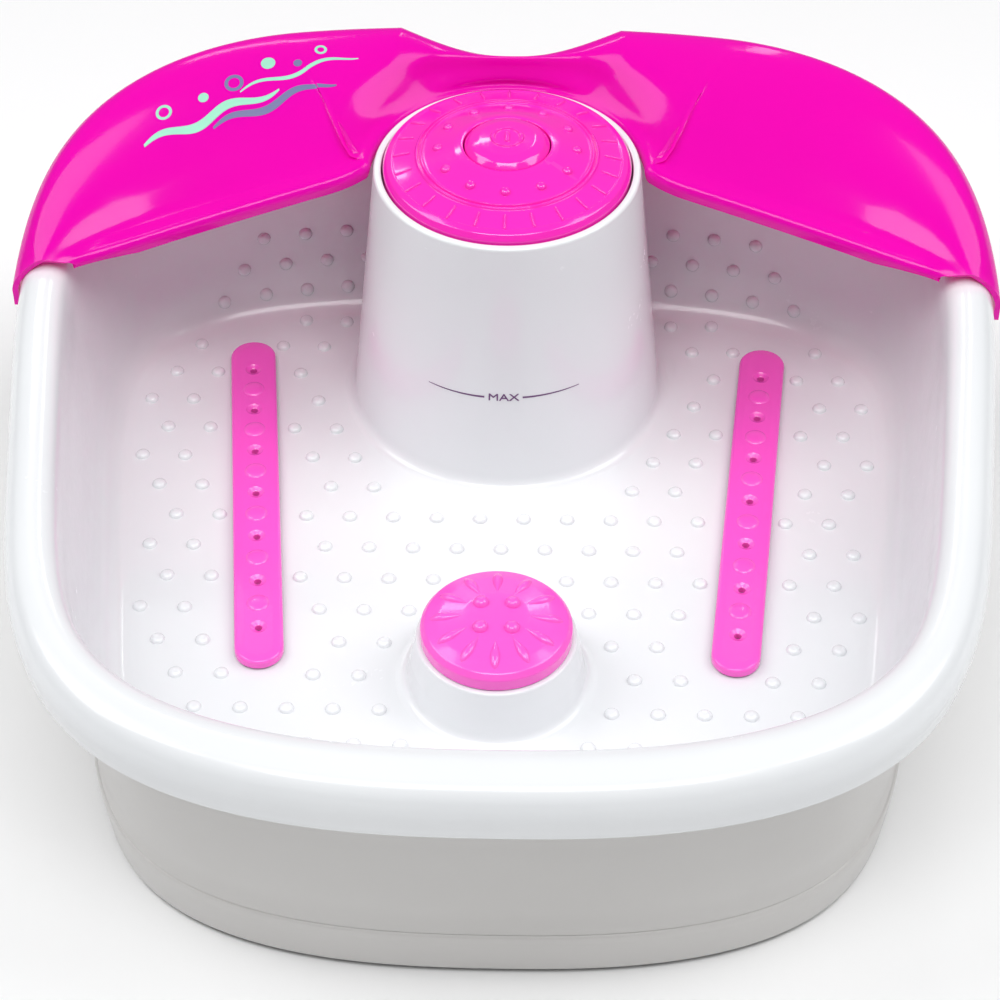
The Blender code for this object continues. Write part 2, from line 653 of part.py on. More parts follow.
# --- controls -----------------------------------------------------------------
def make_dial():
    """The selector dial: a domed cap with a well for the button and a hollow hub."""
    at = (0, TOWER_Y, 0)
    r, top, crown = DIAL_RADIUS, DIAL_TOP, DIAL_TOP + DIAL_CROWN
    well = BUTTON_RADIUS + 0.5 * MM
    low = RECESS_FLOOR + 0.7 * MM
    web_low, web_top = RECESS_FLOOR + 2 * MM, RECESS_FLOOR + 4.5 * MM
    hub_low = RECESS_FLOOR - 10.2 * MM
    line = 0.707 * r

    def on_dome(radius, rise=0.0):
        return radius, top + DIAL_CROWN * (r - 1.8 * MM - radius) / (r - 1.8 * MM - well) + rise

    profile = [on_dome(well + 0.5 * MM), on_dome(28 * MM, -0.3 * MM),
               on_dome(line - 1.9 * MM, -0.5 * MM), on_dome(line - 0.4 * MM, 0.6 * MM),
               on_dome(line + 0.8 * MM, 0.6 * MM), on_dome(line + 1.6 * MM),
               (r - 1.8 * MM, top), (r - 0.4 * MM, top - 0.7 * MM), (r, top - 2 * MM), (r, low),
               (r - 2.5 * MM, low), (r - 2.5 * MM, top - 3 * MM),
               (well + 2.6 * MM, crown - 4 * MM), (well + 2.6 * MM, web_low),
               (HUB_RADIUS, web_low), (HUB_RADIUS, hub_low), (HUB_BORE, hub_low),
               (HUB_BORE, web_top), (well, web_top), (well, crown - 0.8 * MM)]
    turned("control_dial", profile, 32, "pink_plastic", at)
    tube("dial_clip", HUB_RADIUS + 3.2 * MM, HUB_RADIUS + GAP, RECESS_FLOOR - 4.6 * MM,
         RECESS_FLOOR - 3.2 * MM, 14, "steel", at)
    tube("dial_seal", 15 * MM, 11 * MM, RECESS_FLOOR + GAP, web_low - GAP, 16, "rubber", at)
    tube("selector_rotor", 14 * MM, HUB_RADIUS + GAP, RECESS_FLOOR - 10.1 * MM,
         RECESS_FLOOR - 5.1 * MM, 16, "black_plastic", at)


def make_button():
    """The domed power button, its stem and the return spring around the stem."""
    at = (0, TOWER_Y, 0)
    r, skirt = BUTTON_RADIUS, DIAL_TOP + DIAL_CROWN - 4.6 * MM
    top = DIAL_TOP + DIAL_CROWN + 3.4 * MM
    shoulder = RECESS_FLOOR + 4.1 * MM
    stem_low = SWITCH_BORE_FLOOR + BUTTON_TRAVEL + GAP
    neck = SWITCH_TOP + BUTTON_TRAVEL + GAP
    profile = [(0, top - 0.5 * MM), (5.6 * MM, top - 0.6 * MM), (7.6 * MM, top),
               (11 * MM, top - 0.6 * MM), (15 * MM, top - 2.4 * MM), (r, top - 4.6 * MM),
               (r, skirt), (6.6 * MM, skirt), (6.6 * MM, shoulder), (3.9 * MM, shoulder),
               (3.9 * MM, neck + 0.8 * MM), (2.2 * MM, neck),
               (2.2 * MM, stem_low), (0, stem_low)]
    turned("power_button", profile, 24, "pink_plastic", at, closed=False)
    turns, per_turn, radius = 5, 7, 5.3 * MM
    low, high = RECESS_FLOOR - 9.8 * MM, shoulder - 0.8 * MM
    coil = []
    for k in range(turns * per_turn + 1):
        a = 2 * math.pi * k / per_turn
        z = low + (high - low) * k / (turns * per_turn)
        coil.append(Vector((radius * math.cos(a), TOWER_Y + radius * math.sin(a), z)))
    pipe("button_spring", coil, 0.5 * MM, "steel", sides=1)


def make_switchgear():
    """The round control board in the tower, and what is soldered to it."""
    at = (0, TOWER_Y, 0)
    board = rod("control_board", BOARD_RADIUS, BOARD_TOP - BOARD_THICK, BOARD_TOP, 32,
                "board_green", at)
    holes = cylinders("board_holes", board_screw_places(), 1.3 * MM, BOARD_TOP - 5 * MM,
                      BOARD_TOP + 5 * MM, 8)
    boolean(board, holes, "DIFFERENCE")
    selector = [(5, -10.6), (14.6, -10.6), (14.6, -5.3), (17, -5.3), (17, -19.6),
                (12, -19.6), (12, -12.9), (5, -12.9)]
    selector = [(r * MM, RECESS_FLOOR + z * MM) for r, z in selector]
    turned("selector_switch", selector, 20, "black_plastic", at)
    base = BOARD_TOP + GAP
    body = box("push_switch", (-6 * MM, TOWER_Y - 6 * MM, base),
               (6 * MM, TOWER_Y + 6 * MM, SWITCH_TOP), "black_plastic")
    bore = rod("plunger_bore", 2.6 * MM, SWITCH_BORE_FLOOR, RECESS_FLOOR, 12, at=at)
    boolean(body, bore, "DIFFERENCE")
    box("relay", (-27 * MM, TOWER_Y - 10 * MM, base), (-19 * MM, TOWER_Y + 10 * MM, base + 11 * MM),
        "black_plastic")
    rod("capacitor", 5 * MM, base, base + 12 * MM, 16, "copper", (25 * MM, TOWER_Y + 2 * MM, 0))


# --- massage disc -------------------------------------------------------------
def make_massage_disc():
    """The crowned disc, free to turn on a spindle that pulls out of the boss."""
    at = (0, DISC_Y, 0)
    r = DISC_RADIUS
    low = BOSS_TOP + 0.4 * MM
    profile = [(0, low + 11.6 * MM), (0.43 * r, low + 11 * MM), (0.77 * r, low + 9.4 * MM),
               (0.95 * r, low + 7.6 * MM), (0.99 * r, low + 6.6 * MM), (r, low + 5 * MM),
               (r, low), (r - 2.7 * MM, low), (r - 2.7 * MM, low + 4.8 * MM),
               (8 * MM, low + 6.8 * MM), (8 * MM, low + 2.8 * MM), (3.8 * MM, low + 2.8 * MM),
               (3.8 * MM, low + 8 * MM), (0, low + 8 * MM)]
    turned("massage_disc", profile, 26, "pink_plastic", at, closed=False)
    flange = BOSS_TOP + GAP
    peg = SOCKET_RADIUS - 0.25 * MM
    collar = BOSS_TOP + 2.6 * MM
    spindle = [(0, collar + 5.4 * MM), (3.0 * MM, collar + 5.4 * MM),
               (3.5 * MM, collar + 4.8 * MM), (3.5 * MM, collar), (12 * MM, collar),
               (12 * MM, flange), (peg, flange),
               (peg, BOSS_TOP - SOCKET_DEPTH + 1.6 * MM),
               (peg - 1 * MM, BOSS_TOP - SOCKET_DEPTH + 0.6 * MM),
               (0, BOSS_TOP - SOCKET_DEPTH + 0.6 * MM)]
    turned("disc_spindle", spindle, 16, "white_plastic", at, closed=False)


# --- splash guard -------------------------------------------------------------
def guard_front_curve(count):
    """The guard's inner edge on the right half, from its end to the tower's rear."""
    centre = Vector((0, TOWER_Y))
    radius = tower_radius(GUARD_LIP_TOWER_Z) + GUARD_TOWER_GAP
    start = math.radians(2)
    meet = centre + radius * Vector((math.cos(start), math.sin(start)))
    corner = meet + Vector((7.0, -6.0)) * MM
    lead = GUARD_LIP_END.lerp(corner, 0.92)
    path = [GUARD_LIP_END]
    for k in range(7):
        t = k / 6
        path.append((1 - t) ** 2 * lead + 2 * t * (1 - t) * corner + t ** 2 * meet)
    for k in range(1, 25):
        turn = start + (math.pi / 2 - start) * k / 24
        path.append(centre + radius * Vector((math.cos(turn), math.sin(turn))))
    return resampled(path, count)


def guard_rise(k, count, scallop_steps):
    """How far the guard's outer edge has climbed by a station, from 0 to 1."""
    return math.sin(min(1, 1.25 * k / (count - scallop_steps)) * math.pi / 2) ** 0.9


def guard_outer_curve(count, scallop_steps):
    """The guard's outer edge on the right half, as the foot and the top of its wall."""
    half = SCALLOP_HALF_WIDTH
    plan = ring(-GUARD_OUTSET, 400)[:201]
    side = [p for p in plan if p.y >= GUARD_END_Y and p.x >= half]
    foot = resampled(side, count - scallop_steps)
    top = []
    for k, point in enumerate(foot):
        along = foot[min(k + 1, len(foot) - 1)] - foot[max(k - 1, 0)]
        inward = Vector((-along.y, along.x)).normalized()
        top.append(point + inward * GUARD_LEAN * guard_rise(k, count, scallop_steps))
    top[-1].x = foot[-1].x = half
    corner_y = top[-1].y
    for k in range(1, scallop_steps + 1):
        share = k / scallop_steps
        dip = SCALLOP_DEPTH * math.sin(share * math.pi / 2)
        top.append(Vector((half * (1 - share), corner_y - dip)))
        foot.append(top[-1] + Vector((0, 2 * MM)))
    return foot, top


def guard_sections(count=22, scallop_steps=5):
    """For each station of the right half, the guard's section from lip to skirt."""
    front = guard_front_curve(count)
    feet, tops = guard_outer_curve(count, scallop_steps)
    sections = []
    for k, (inner, foot, edge) in enumerate(zip(front, feet, tops)):
        away = (edge - inner).normalized()
        along = front[min(k + 1, count)] - front[max(k - 1, 0)]
        border = away.lerp(Vector((along.y, -along.x)).normalized(), min(1, k / 3)).normalized()
        reach = (edge - inner).length
        a = inner + border * min(GUARD_BAND, 0.35 * reach)
        b = edge - (edge - a).normalized() * min(7 * MM, 0.3 * reach)

        near = (GUARD_LIP_END.x - inner.x) / (GUARD_LIP_END.x - tower_radius(TOWER_TOP))
        lip_z = GUARD_END_Z + (GUARD_LIP_TOWER_Z - GUARD_END_Z) * min(1, near) ** 0.85
        around = math.degrees(math.atan2(inner.y - TOWER_Y, inner.x))
        a_z = lip_z + 1.8 * MM + GUARD_BAND_RISE * min(1, max(0, (around + 6) / 56))
        rise = guard_rise(k, count, scallop_steps)
        start_z = GUARD_END_Z - 6 * MM
        edge_z = start_z + (GUARD_REAR_Z - start_z) * rise
        dipped = max(0, k - (count - scallop_steps)) / scallop_steps
        edge_z -= SCALLOP_DIP * math.sin(dipped * math.pi / 2)
        b_z = edge_z + 4.5 * MM * (1 - rise)
        skirt = RIM_TOP - GUARD_SKIRT_DROP
        if k >= count - scallop_steps:
            skirt = RIM_TOP + 3 * MM
        knee = min(skirt + 10 * MM, (edge_z - 6 * MM + skirt) / 2)
        sections.append([(inner + border * 0.8 * MM, lip_z - GUARD_LIP_DROP),
                         (inner, lip_z - 2.2 * MM),
                         (inner + border * 0.7 * MM, lip_z - 0.6 * MM),
                         (inner + border * 2.4 * MM, lip_z + 0.6 * MM),
                         (a, a_z),
                         (a.lerp(b, 0.5), a_z + (b_z - a_z) * 0.58 + 2.2 * MM),
                         (b, b_z), (edge - away * 1.6 * MM, edge_z - 1.8 * MM),
                         (edge.lerp(foot, 0.15), edge_z - 6 * MM), (foot, knee), (foot, skirt)])
    return sections


def make_splash_guard():
    """The pink cowl over the rear rim, open underneath, that lifts straight off."""
    right = guard_sections()
    left = [[(Vector((-p.x, p.y)), z) for p, z in section] for section in right[-2::-1]]
    origin = Vector((0, TOWER_Y, 0))
    bm = bmesh.new()
    grid = [[bm.verts.new(Vector((p.x, p.y, z)) - origin) for p, z in section]
            for section in right + left]
    for near, far in zip(grid, grid[1:]):
        for k in range(len(near) - 1):
            bm.faces.new((near[k], near[k + 1], far[k + 1], far[k]))
    bmesh.ops.recalc_face_normals(bm, faces=bm.faces)
    middle = max(bm.faces, key=lambda f: f.calc_center_median().z)
    if middle.normal.z < 0:
        bmesh.ops.reverse_faces(bm, faces=bm.faces)
    mesh = bpy.data.meshes.new("splash_guard")
    bm.to_mesh(mesh)
    bm.free()
    guard = add_object("splash_guard", mesh, "pink_plastic", origin)
    solid = guard.modifiers.new("wall", "SOLIDIFY")
    solid.thickness = GUARD_WALL
    solid.offset = -1
    solid.use_even_offset = False
    return smooth(guard, 40)


# --- vibration motor ------------------------------------------------------------
def make_motor():
    at = (0, MOTOR_Y, MOTOR_Z)
    half, r = MOTOR_LENGTH / 2, MOTOR_RADIUS
    bore = SHAFT_RADIUS + GAP
    can = [(bore, half), (r - 1 * MM, half), (r, half - 1 * MM), (r, 1 * MM - half),
           (r - 1 * MM, -half), (bore, -half), (bore, 1.4 * MM - half),
           (r - 1.2 * MM, 1.4 * MM - half), (r - 1.2 * MM, half - 1.4 * MM), (bore, half - 1.4 * MM)]
    case = turned("motor_case", can, 18, "steel", at, axis="X")
    boolean(case, cylinders("lead_hole", [(-half + 6 * MM, MOTOR_Y)], 2.2 * MM, 0.005, 0.02, 8),
            "DIFFERENCE")
    tube("motor_stator", r - 1.5 * MM, r - 3.6 * MM, -13 * MM, 13 * MM, 20, "copper", at, "X")
    tube("motor_armature", r - 4.2 * MM, SHAFT_RADIUS + GAP, -12 * MM, 12 * MM, 16, "steel", at, "X")
    rod("motor_shaft", SHAFT_RADIUS, -SHAFT_LENGTH / 2, SHAFT_LENGTH / 2, 10, "steel", at, "X")
    for side, word in ((1, "right"), (-1, "left")):
        make_weight(side, word)
    ring_clamp = tube("motor_bracket", r + 2.4 * MM, r + GAP, -8 * MM, 8 * MM, 18, "steel", at,
                      "X")
    bar = box("bracket_bar", (-8 * MM, MOTOR_Y - 26 * MM, 38.2 * MM),
              (8 * MM, MOTOR_Y + 26 * MM, 40.2 * MM))
    boolean(ring_clamp, bar, "UNION")
    keep = rod("bracket_keep", r + GAP, -0.02, 0.02, 18, at=at, axis="X")
    boolean(ring_clamp, keep, "DIFFERENCE")
    holes = cylinders("bracket_holes", bracket_screw_places(), SCREW_SHANK + HOLE_SLACK,
                      0.03, 0.05, 8)
    boolean(ring_clamp, holes, "DIFFERENCE")


def make_weight(side, word):
    """An eccentric weight: a half disc on the shaft, outside the motor."""
    bm = bmesh.new()
    steps = 12
    inner, outer = SHAFT_RADIUS + GAP, WEIGHT_RADIUS
    low = side * (MOTOR_LENGTH / 2 + 3 * MM)
    high = low + side * WEIGHT_THICK
    faces = []
    for x in (low, high):
        arc = [math.pi * (1 + k / steps) for k in range(steps + 1)]
        loop = [(outer * math.cos(a), outer * math.sin(a)) for a in arc]
        loop += [(inner + 1.5 * MM, 0), (inner + 1.5 * MM, inner + 1.5 * MM),
                 (-inner - 1.5 * MM, inner + 1.5 * MM), (-inner - 1.5 * MM, 0)]
        faces.append([bm.verts.new((x, y, z)) for y, z in loop])
    count = len(faces[0])
    for loop in faces:
        bm.faces.new(loop)
    for k in range(count):
        m = (k + 1) % count
        bm.faces.new((faces[0][k], faces[0][m], faces[1][m], faces[1][k]))
    name = f"eccentric_weight_{word}"
    weight = add_object(name, mesh_from(name, bm), "steel", (0, MOTOR_Y, MOTOR_Z))
    bore = rod(f"weight_bore_{word}", inner, -0.05, 0.05, 12, at=(0, MOTOR_Y, MOTOR_Z), axis="X")
    boolean(weight, bore, "DIFFERENCE")


# --- air pump -------------------------------------------------------------------
def make_pump():
    """A rocking-arm air pump: a magnet on the arm swings before a coil."""
    half = PUMP_SIZE / 2
    low, high = PUMP_CENTRE - half, PUMP_CENTRE + half
    wall = Vector((PUMP_WALL, PUMP_WALL, PUMP_WALL))
    case = box("pump_case", low, high, "black_plastic")
    hollow = box("pump_hollow", low + wall, high - wall + Vector((0, 0, 0.01)))
    boolean(case, hollow, "DIFFERENCE")
    outlet = tube("pump_outlet", HOSE_RADIUS, 1.8 * MM, -7 * MM, 1 * MM, 12,
                  at=(0, low.y, PUMP_CENTRE.z), axis="Y")
    boolean(case, outlet, "UNION")
    bore = rod("outlet_bore", 1.8 * MM, -0.01, 0.006, 10, at=(0, low.y, PUMP_CENTRE.z), axis="Y")
    boolean(case, bore, "DIFFERENCE")
    box("pump_lid", (low.x, low.y, high.z + GAP), (high.x, high.y, high.z + 2.2 * MM),
        "black_plastic")
    floor = low.z + PUMP_WALL + GAP
    y = PUMP_CENTRE.y
    box("pump_coil", (17 * MM, y - 12 * MM, floor), (31 * MM, y + 12 * MM, floor + 17 * MM), "copper")
    pivot = Vector((-26 * MM, y, floor + 11 * MM))
    rod("pump_pivot_pin", 1.5 * MM, -21 * MM, 21 * MM, 10, "steel", pivot, axis="Y")
    arm = box("pump_arm", (-30 * MM, y - 6 * MM, pivot.z - 3 * MM), (9 * MM, y + 6 * MM, pivot.z + 3 * MM),
              "black_plastic", pivot)
    pin_hole = rod("arm_bore", 1.8 * MM, -0.02, 0.02, 12, at=pivot, axis="Y")
    boolean(arm, pin_hole, "DIFFERENCE")
    box("pump_magnet", (9.3 * MM, y - 7 * MM, pivot.z - 4 * MM), (14 * MM, y + 7 * MM, pivot.z + 4 * MM),
        "steel", pivot)
    top = pivot.z - 3.3 * MM - floor
    bellows = [(0, top), (5, top), (7.4, top - 1.6 * MM), (5, top / 2), (7.4, 1.6 * MM),
               (5, 0), (0, 0)]
    profile = [((r * MM if r else 0), z) for r, z in bellows]
    turned("pump_bellows", profile, 16, "rubber", (-4 * MM, y, floor), closed=False)


def make_air_lines():
    """The hose from the pump, a tee and a hose to the nipple under each strip."""
    z = PUMP_CENTRE.z
    tee_y = 46 * MM
    front = PUMP_CENTRE.y - PUMP_SIZE.y / 2
    run = [Vector((0, front - 7.3 * MM, z)), Vector((0, tee_y + 9.3 * MM, z))]
    pipe("air_hose_pump", run, HOSE_RADIUS, "clear_hose")
    tee = rod("air_tee", HOSE_RADIUS, -10 * MM, 10 * MM, 12, "white_plastic", (0, tee_y, z), "X")
    boolean(tee, rod("tee_branch", HOSE_RADIUS, -1 * MM, 9 * MM, 12, at=(0, tee_y, z), axis="Y"), "UNION")
    x_end, y_end = nipple_places()[0]
    x_end, y_end = x_end / MM, y_end / MM
    middle = z / MM
    for side, word in ((1, "right"), (-1, "left")):
        route = [(10.3, 46, middle), (15, 46, middle), (32, 46, middle - 2), (60, 45, middle - 4),
                 (x_end - 18, y_end + 1, middle - 3), (x_end - 5, y_end, 24),
                 (x_end, y_end, 28.6), (x_end, y_end, 31), (x_end, y_end, 33.6)]
        points = smooth_route([(side * x, y, height) for x, y, height in route], 3)
        pipe(f"air_hose_{word}", points, HOSE_RADIUS, "clear_hose")


# --- heater and wiring ------------------------------------------------------------
def make_heater():
    """A sheathed heating wire in long loops under the floor, and its cut-out."""
    runs, pitch, z = 5, 34 * MM, 39.6 * MM
    near, far = -60 * MM, -112 * MM
    points = []
    for k in range(runs):
        x = (k - (runs - 1) / 2) * pitch
        outward = k % 2 == 0
        ends = (near, far) if outward else (far, near)
        points.append(Vector((x, ends[0], z)))
        points.append(Vector((x, ends[1], z)))
        if k == runs - 1:
            break
        turn = math.pi if outward else -math.pi
        for step in range(1, 6):
            a = turn * (1 + step / 6) if outward else math.pi - math.pi * step / 6
            points.append(Vector((x + pitch / 2 + pitch / 2 * math.cos(a),
                                  ends[1] + pitch / 2 * math.sin(a), z)))
    pipe("heating_element", points, 1.5 * MM, "steel", sides=1)
    rod("thermal_cutout", 8 * MM, 34 * MM, FLOOR_UNDER - GAP, 16, "steel", (-95 * MM, -60 * MM, 0))


def make_leads():
    """Leads held inside: mains to board, board to motor and board to pump."""
    board = (BOARD_TOP - BOARD_THICK) / MM - 0.5
    mains = [(0, 165, 33), (0, 160, 33), (-3, 154, 35), (-8, 149, 46), (-12, 146, 70),
             (-13, 141, 100), (-12, 137, board - 10), (-12, 136, board)]
    start = MOTOR_Y / MM
    motor = [(-16, start, 13.5), (-16, start + 0.2, 12.2), (-17, start + 3, 10.6),
             (-24, start + 17, 10.4), (-38, start + 36, 10.4),
             (-50, 60, 10.6), (-52, 85, 14), (-46, 106, 36), (-40, 112, 80),
             (-31, 114, board - 14), (-29, 114, board)]
    pump = [(24, 113, 36.7), (24, 113, 60), (22, 114, 95), (20, 115, board)]
    pipe("mains_lead", smooth_route(mains, 3), 2.2 * MM, "black_plastic", sides=1)
    pipe("motor_lead", smooth_route(motor, 3), 1.2 * MM, "black_plastic", sides=1)
    pipe("pump_lead", smooth_route(pump, 3), 1.2 * MM, "black_plastic", sides=1)


def main():
    make_tub()
    make_outer_shell()
    make_base_pan()
    make_feet()
    make_screws()
    make_gland()
    make_strip(1, "right")
    make_strip(-1, "left")
    make_dial()
    make_button()
    make_switchgear()
    make_massage_disc()
    make_splash_guard()
    make_motor()
    make_pump()
    make_air_lines()
    make_heater()
    make_leads()
    for thing in [*PARTS.objects, *CUTTERS.objects]:
        thing.location.y -= BODY_MIDDLE_Y


clear_scene()
PARTS = collection("foot_spa_basin")
CUTTERS = collection("cutters")
CUTTERS.hide_render = True
main()
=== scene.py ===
"""Looks of the foot spa basin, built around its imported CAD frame.

Metres, +Z up, +Y to the rear where the splash guard is. Shapes are drawn in the basin's
own plan frame, whose Y is zero where the front and rear curves of the rim meet, and every
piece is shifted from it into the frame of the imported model. Outlines are in millimetres.
"""
import json
import math

import bmesh
import bpy
from mathutils import Matrix, Vector
from mathutils.bvhtree import BVHTree


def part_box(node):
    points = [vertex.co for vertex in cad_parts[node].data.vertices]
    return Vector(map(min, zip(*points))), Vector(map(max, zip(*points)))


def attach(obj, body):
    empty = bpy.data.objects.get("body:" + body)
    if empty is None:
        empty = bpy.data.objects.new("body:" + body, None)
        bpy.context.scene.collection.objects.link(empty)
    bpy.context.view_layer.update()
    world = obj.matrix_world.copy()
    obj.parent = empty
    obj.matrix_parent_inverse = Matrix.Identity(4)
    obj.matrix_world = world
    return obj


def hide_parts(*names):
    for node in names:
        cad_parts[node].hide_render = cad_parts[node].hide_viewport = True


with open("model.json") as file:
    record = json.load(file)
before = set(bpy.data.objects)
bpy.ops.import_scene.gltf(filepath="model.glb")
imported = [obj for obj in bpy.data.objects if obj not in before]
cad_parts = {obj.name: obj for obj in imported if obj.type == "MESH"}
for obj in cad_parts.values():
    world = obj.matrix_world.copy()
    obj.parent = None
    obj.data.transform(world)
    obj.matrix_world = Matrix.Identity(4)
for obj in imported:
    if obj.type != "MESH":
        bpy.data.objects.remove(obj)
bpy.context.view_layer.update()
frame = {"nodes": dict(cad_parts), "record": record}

MM = 0.001
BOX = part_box

# --- sizes shared by several pieces ---
RIM_HALF_WIDTH = 191.6 * MM
RIM_TAPER = 0.11
RIM_SQUARENESS = 4.4
RIM_POWER = 0.4
RIM_FRONT = 192.0 * MM
RIM_REAR = 205.0 * MM
FRONT_WIDENING = 6.0 * MM
REAR_COVE = 4.0 * MM
RING_POINTS = 240
SHIFT = Vector((0, BOX("tub")[0].y + RIM_FRONT, 0))

FLOOR_TOP = 45.0 * MM
RIM_TOP = 130.0 * MM
SKIRT_EDGE = RIM_TOP - 24.0 * MM
PLINTH_TOP = 24.4 * MM

DIAL_LOW, DIAL_HIGH = BOX("control_dial")
TOWER_Y = (DIAL_LOW.y + DIAL_HIGH.y) / 2 - SHIFT.y
DIAL_RADIUS = (DIAL_HIGH.x - DIAL_LOW.x) / 2
DIAL_CROWN = 8.6 * MM
BUTTON_WELL = 17.9 * MM
DIAL_RIBS = 24
DIAL_PEARLS = 12
PEARL_CIRCLE = 28.2 * MM
TOWER_TOP = BOX("tub")[1].z
DIAL_TOP = TOWER_TOP + 3.5 * MM
TOWER_TOP_RADIUS = 54.6 * MM
TOWER_FOOT_RADIUS = 66.0 * MM
RECESS_RADIUS = DIAL_RADIUS + 0.7 * MM
RECESS_FLOOR = 151.5 * MM

GLAND_LOW, GLAND_HIGH = BOX("cord_gland")
GLAND_Y = GLAND_HIGH.y - 7.4 * MM - SHIFT.y
GLAND_Z = (GLAND_LOW.z + GLAND_HIGH.z) / 2

DISC_LOW, DISC_HIGH = BOX("massage_disc")
DISC_Y = (DISC_LOW.y + DISC_HIGH.y) / 2 - SHIFT.y
DISC_RADIUS = (DISC_HIGH.x - DISC_LOW.x) / 2
DISC_RIBS = 12
BOSS_TOP = 68.0 * MM

NUB_PITCH = 18.0 * MM
NUB_RADIUS = 3.0 * MM
NUB_HEIGHT = 1.9 * MM

STRIP_CENTRE = Vector((102.5, 42.0)) * MM
STRIP_SPLAY = math.radians(5.6)
STRIP_WIDTH = 19.5 * MM
STRIP_LENGTH = 195.0 * MM
STRIP_HOLES = 7
STRIP_PITCH = 26.0 * MM


# --- curves ---
def smooth_curve(points, steps):
    """Points on a smooth curve through the given ones, steps to each span."""
    points = [Vector(p) for p in points]
    times = [0.0]
    for a, b in zip(points, points[1:]):
        times.append(times[-1] + max((b - a).length, 1e-9) ** 0.5)
    slopes = []
    for k in range(len(points)):
        low, high = max(k - 1, 0), min(k + 1, len(points) - 1)
        if low == k or high == k:
            slopes.append((points[high] - points[low]) / (times[high] - times[low]))
            continue
        before = (points[k] - points[low]) / (times[k] - times[low])
        after = (points[high] - points[k]) / (times[high] - times[k])
        share = (times[k] - times[low]) / (times[high] - times[low])
        slopes.append(before.lerp(after, share))
    curve = []
    for k in range(len(points) - 1):
        span = times[k + 1] - times[k]
        for i in range(steps):
            t = i / steps
            curve.append((2 * t ** 3 - 3 * t ** 2 + 1) * points[k]
                         + (t ** 3 - 2 * t ** 2 + t) * span * slopes[k]
                         + (3 * t ** 2 - 2 * t ** 3) * points[k + 1]
                         + (t ** 3 - t ** 2) * span * slopes[k + 1])
    return [*curve, points[-1]]


def spoke(k, count, start=0.0):
    """Unit vectors out along the k-th of count spokes and across it."""
    a = start + 2 * math.pi * k / count
    return Vector((math.cos(a), math.sin(a), 0)), Vector((-math.sin(a), math.cos(a), 0))


def filleted(points, steps=4, closed=False):
    """The outline with each corner (x, y, radius) in millimetres rounded, in metres."""
    outline = []
    for k, (x, y, radius) in enumerate(points):
        corner = Vector((x, y))
        if radius <= 0 or (not closed and k in (0, len(points) - 1)):
            outline.append(corner * MM)
            continue
        back = Vector(points[k - 1][:2]) - corner
        ahead = Vector(points[(k + 1) % len(points)][:2]) - corner
        reach = min(radius / math.tan(back.angle(ahead) / 2), 0.48 * back.length,
                    0.48 * ahead.length)
        start, end = corner + back.normalized() * reach, corner + ahead.normalized() * reach
        for i in range(steps + 1):
            t = i / steps
            outline.append(((1 - t) ** 2 * start + 2 * t * (1 - t) * corner + t ** 2 * end) * MM)
    return outline


def resampled(points, count):
    """The polyline cut into count equal steps, with both ends kept."""
    lengths = [0.0]
    for a, b in zip(points, points[1:]):
        lengths.append(lengths[-1] + (b - a).length)
    found, k = [], 0
    for i in range(count + 1):
        want = lengths[-1] * i / count
        while k < len(points) - 2 and lengths[k + 1] < want:
            k += 1
        share = (want - lengths[k]) / max(lengths[k + 1] - lengths[k], 1e-12)
        found.append(points[k].lerp(points[k + 1], share))
    return found


def rim_half_curve(steps=600):
    """The right half of the rim's plan, from the front middle to the rear middle."""
    curve = []
    for k in range(steps + 1):
        share = -math.cos(math.pi * k / steps)
        y = share * (RIM_FRONT if share < 0 else RIM_REAR)
        width = RIM_HALF_WIDTH + RIM_TAPER * y
        curve.append(Vector((width * max(0.0, 1 - abs(share) ** RIM_SQUARENESS) ** RIM_POWER, y)))
    return curve


def ring(inset, count=RING_POINTS, basin=False):
    """The rim's plan moved inwards by inset, anticlockwise from the front middle."""
    half = resampled(rim_half_curve(), count // 2)
    plan = half + [Vector((-p.x, p.y)) for p in half[-2:0:-1]]
    moved = []
    for k, point in enumerate(plan):
        along = plan[(k + 1) % len(plan)] - plan[k - 1]
        inward = Vector((-along.y, along.x)).normalized()
        extra = 0.0
        if basin and inward.y > 0:
            extra = FRONT_WIDENING * min(1, max(0, (inset - 6 * MM) / (12 * MM)))
        elif basin:
            extra = REAR_COVE * min(1, max(0, (inset - 24 * MM) / (20 * MM)))
        moved.append(point + inward * (inset + extra * inward.y ** 2))
    return moved


# --- mesh helpers ---
def loft(bm, loops, closed=False, caps=True):
    """Faces between loops of points; closed joins the last loop to the first."""
    rows = [[bm.verts.new(p) for p in loop] for loop in loops]
    pairs = list(zip(rows, rows[1:]))
    if closed:
        pairs.append((rows[-1], rows[0]))
    for a, b in pairs:
        for k in range(len(a)):
            m = (k + 1) % len(a)
            bm.faces.new((a[k], a[m], b[m], b[k]))
    if caps and not closed:
        bm.faces.new(rows[0])
        bm.faces.new(rows[-1])


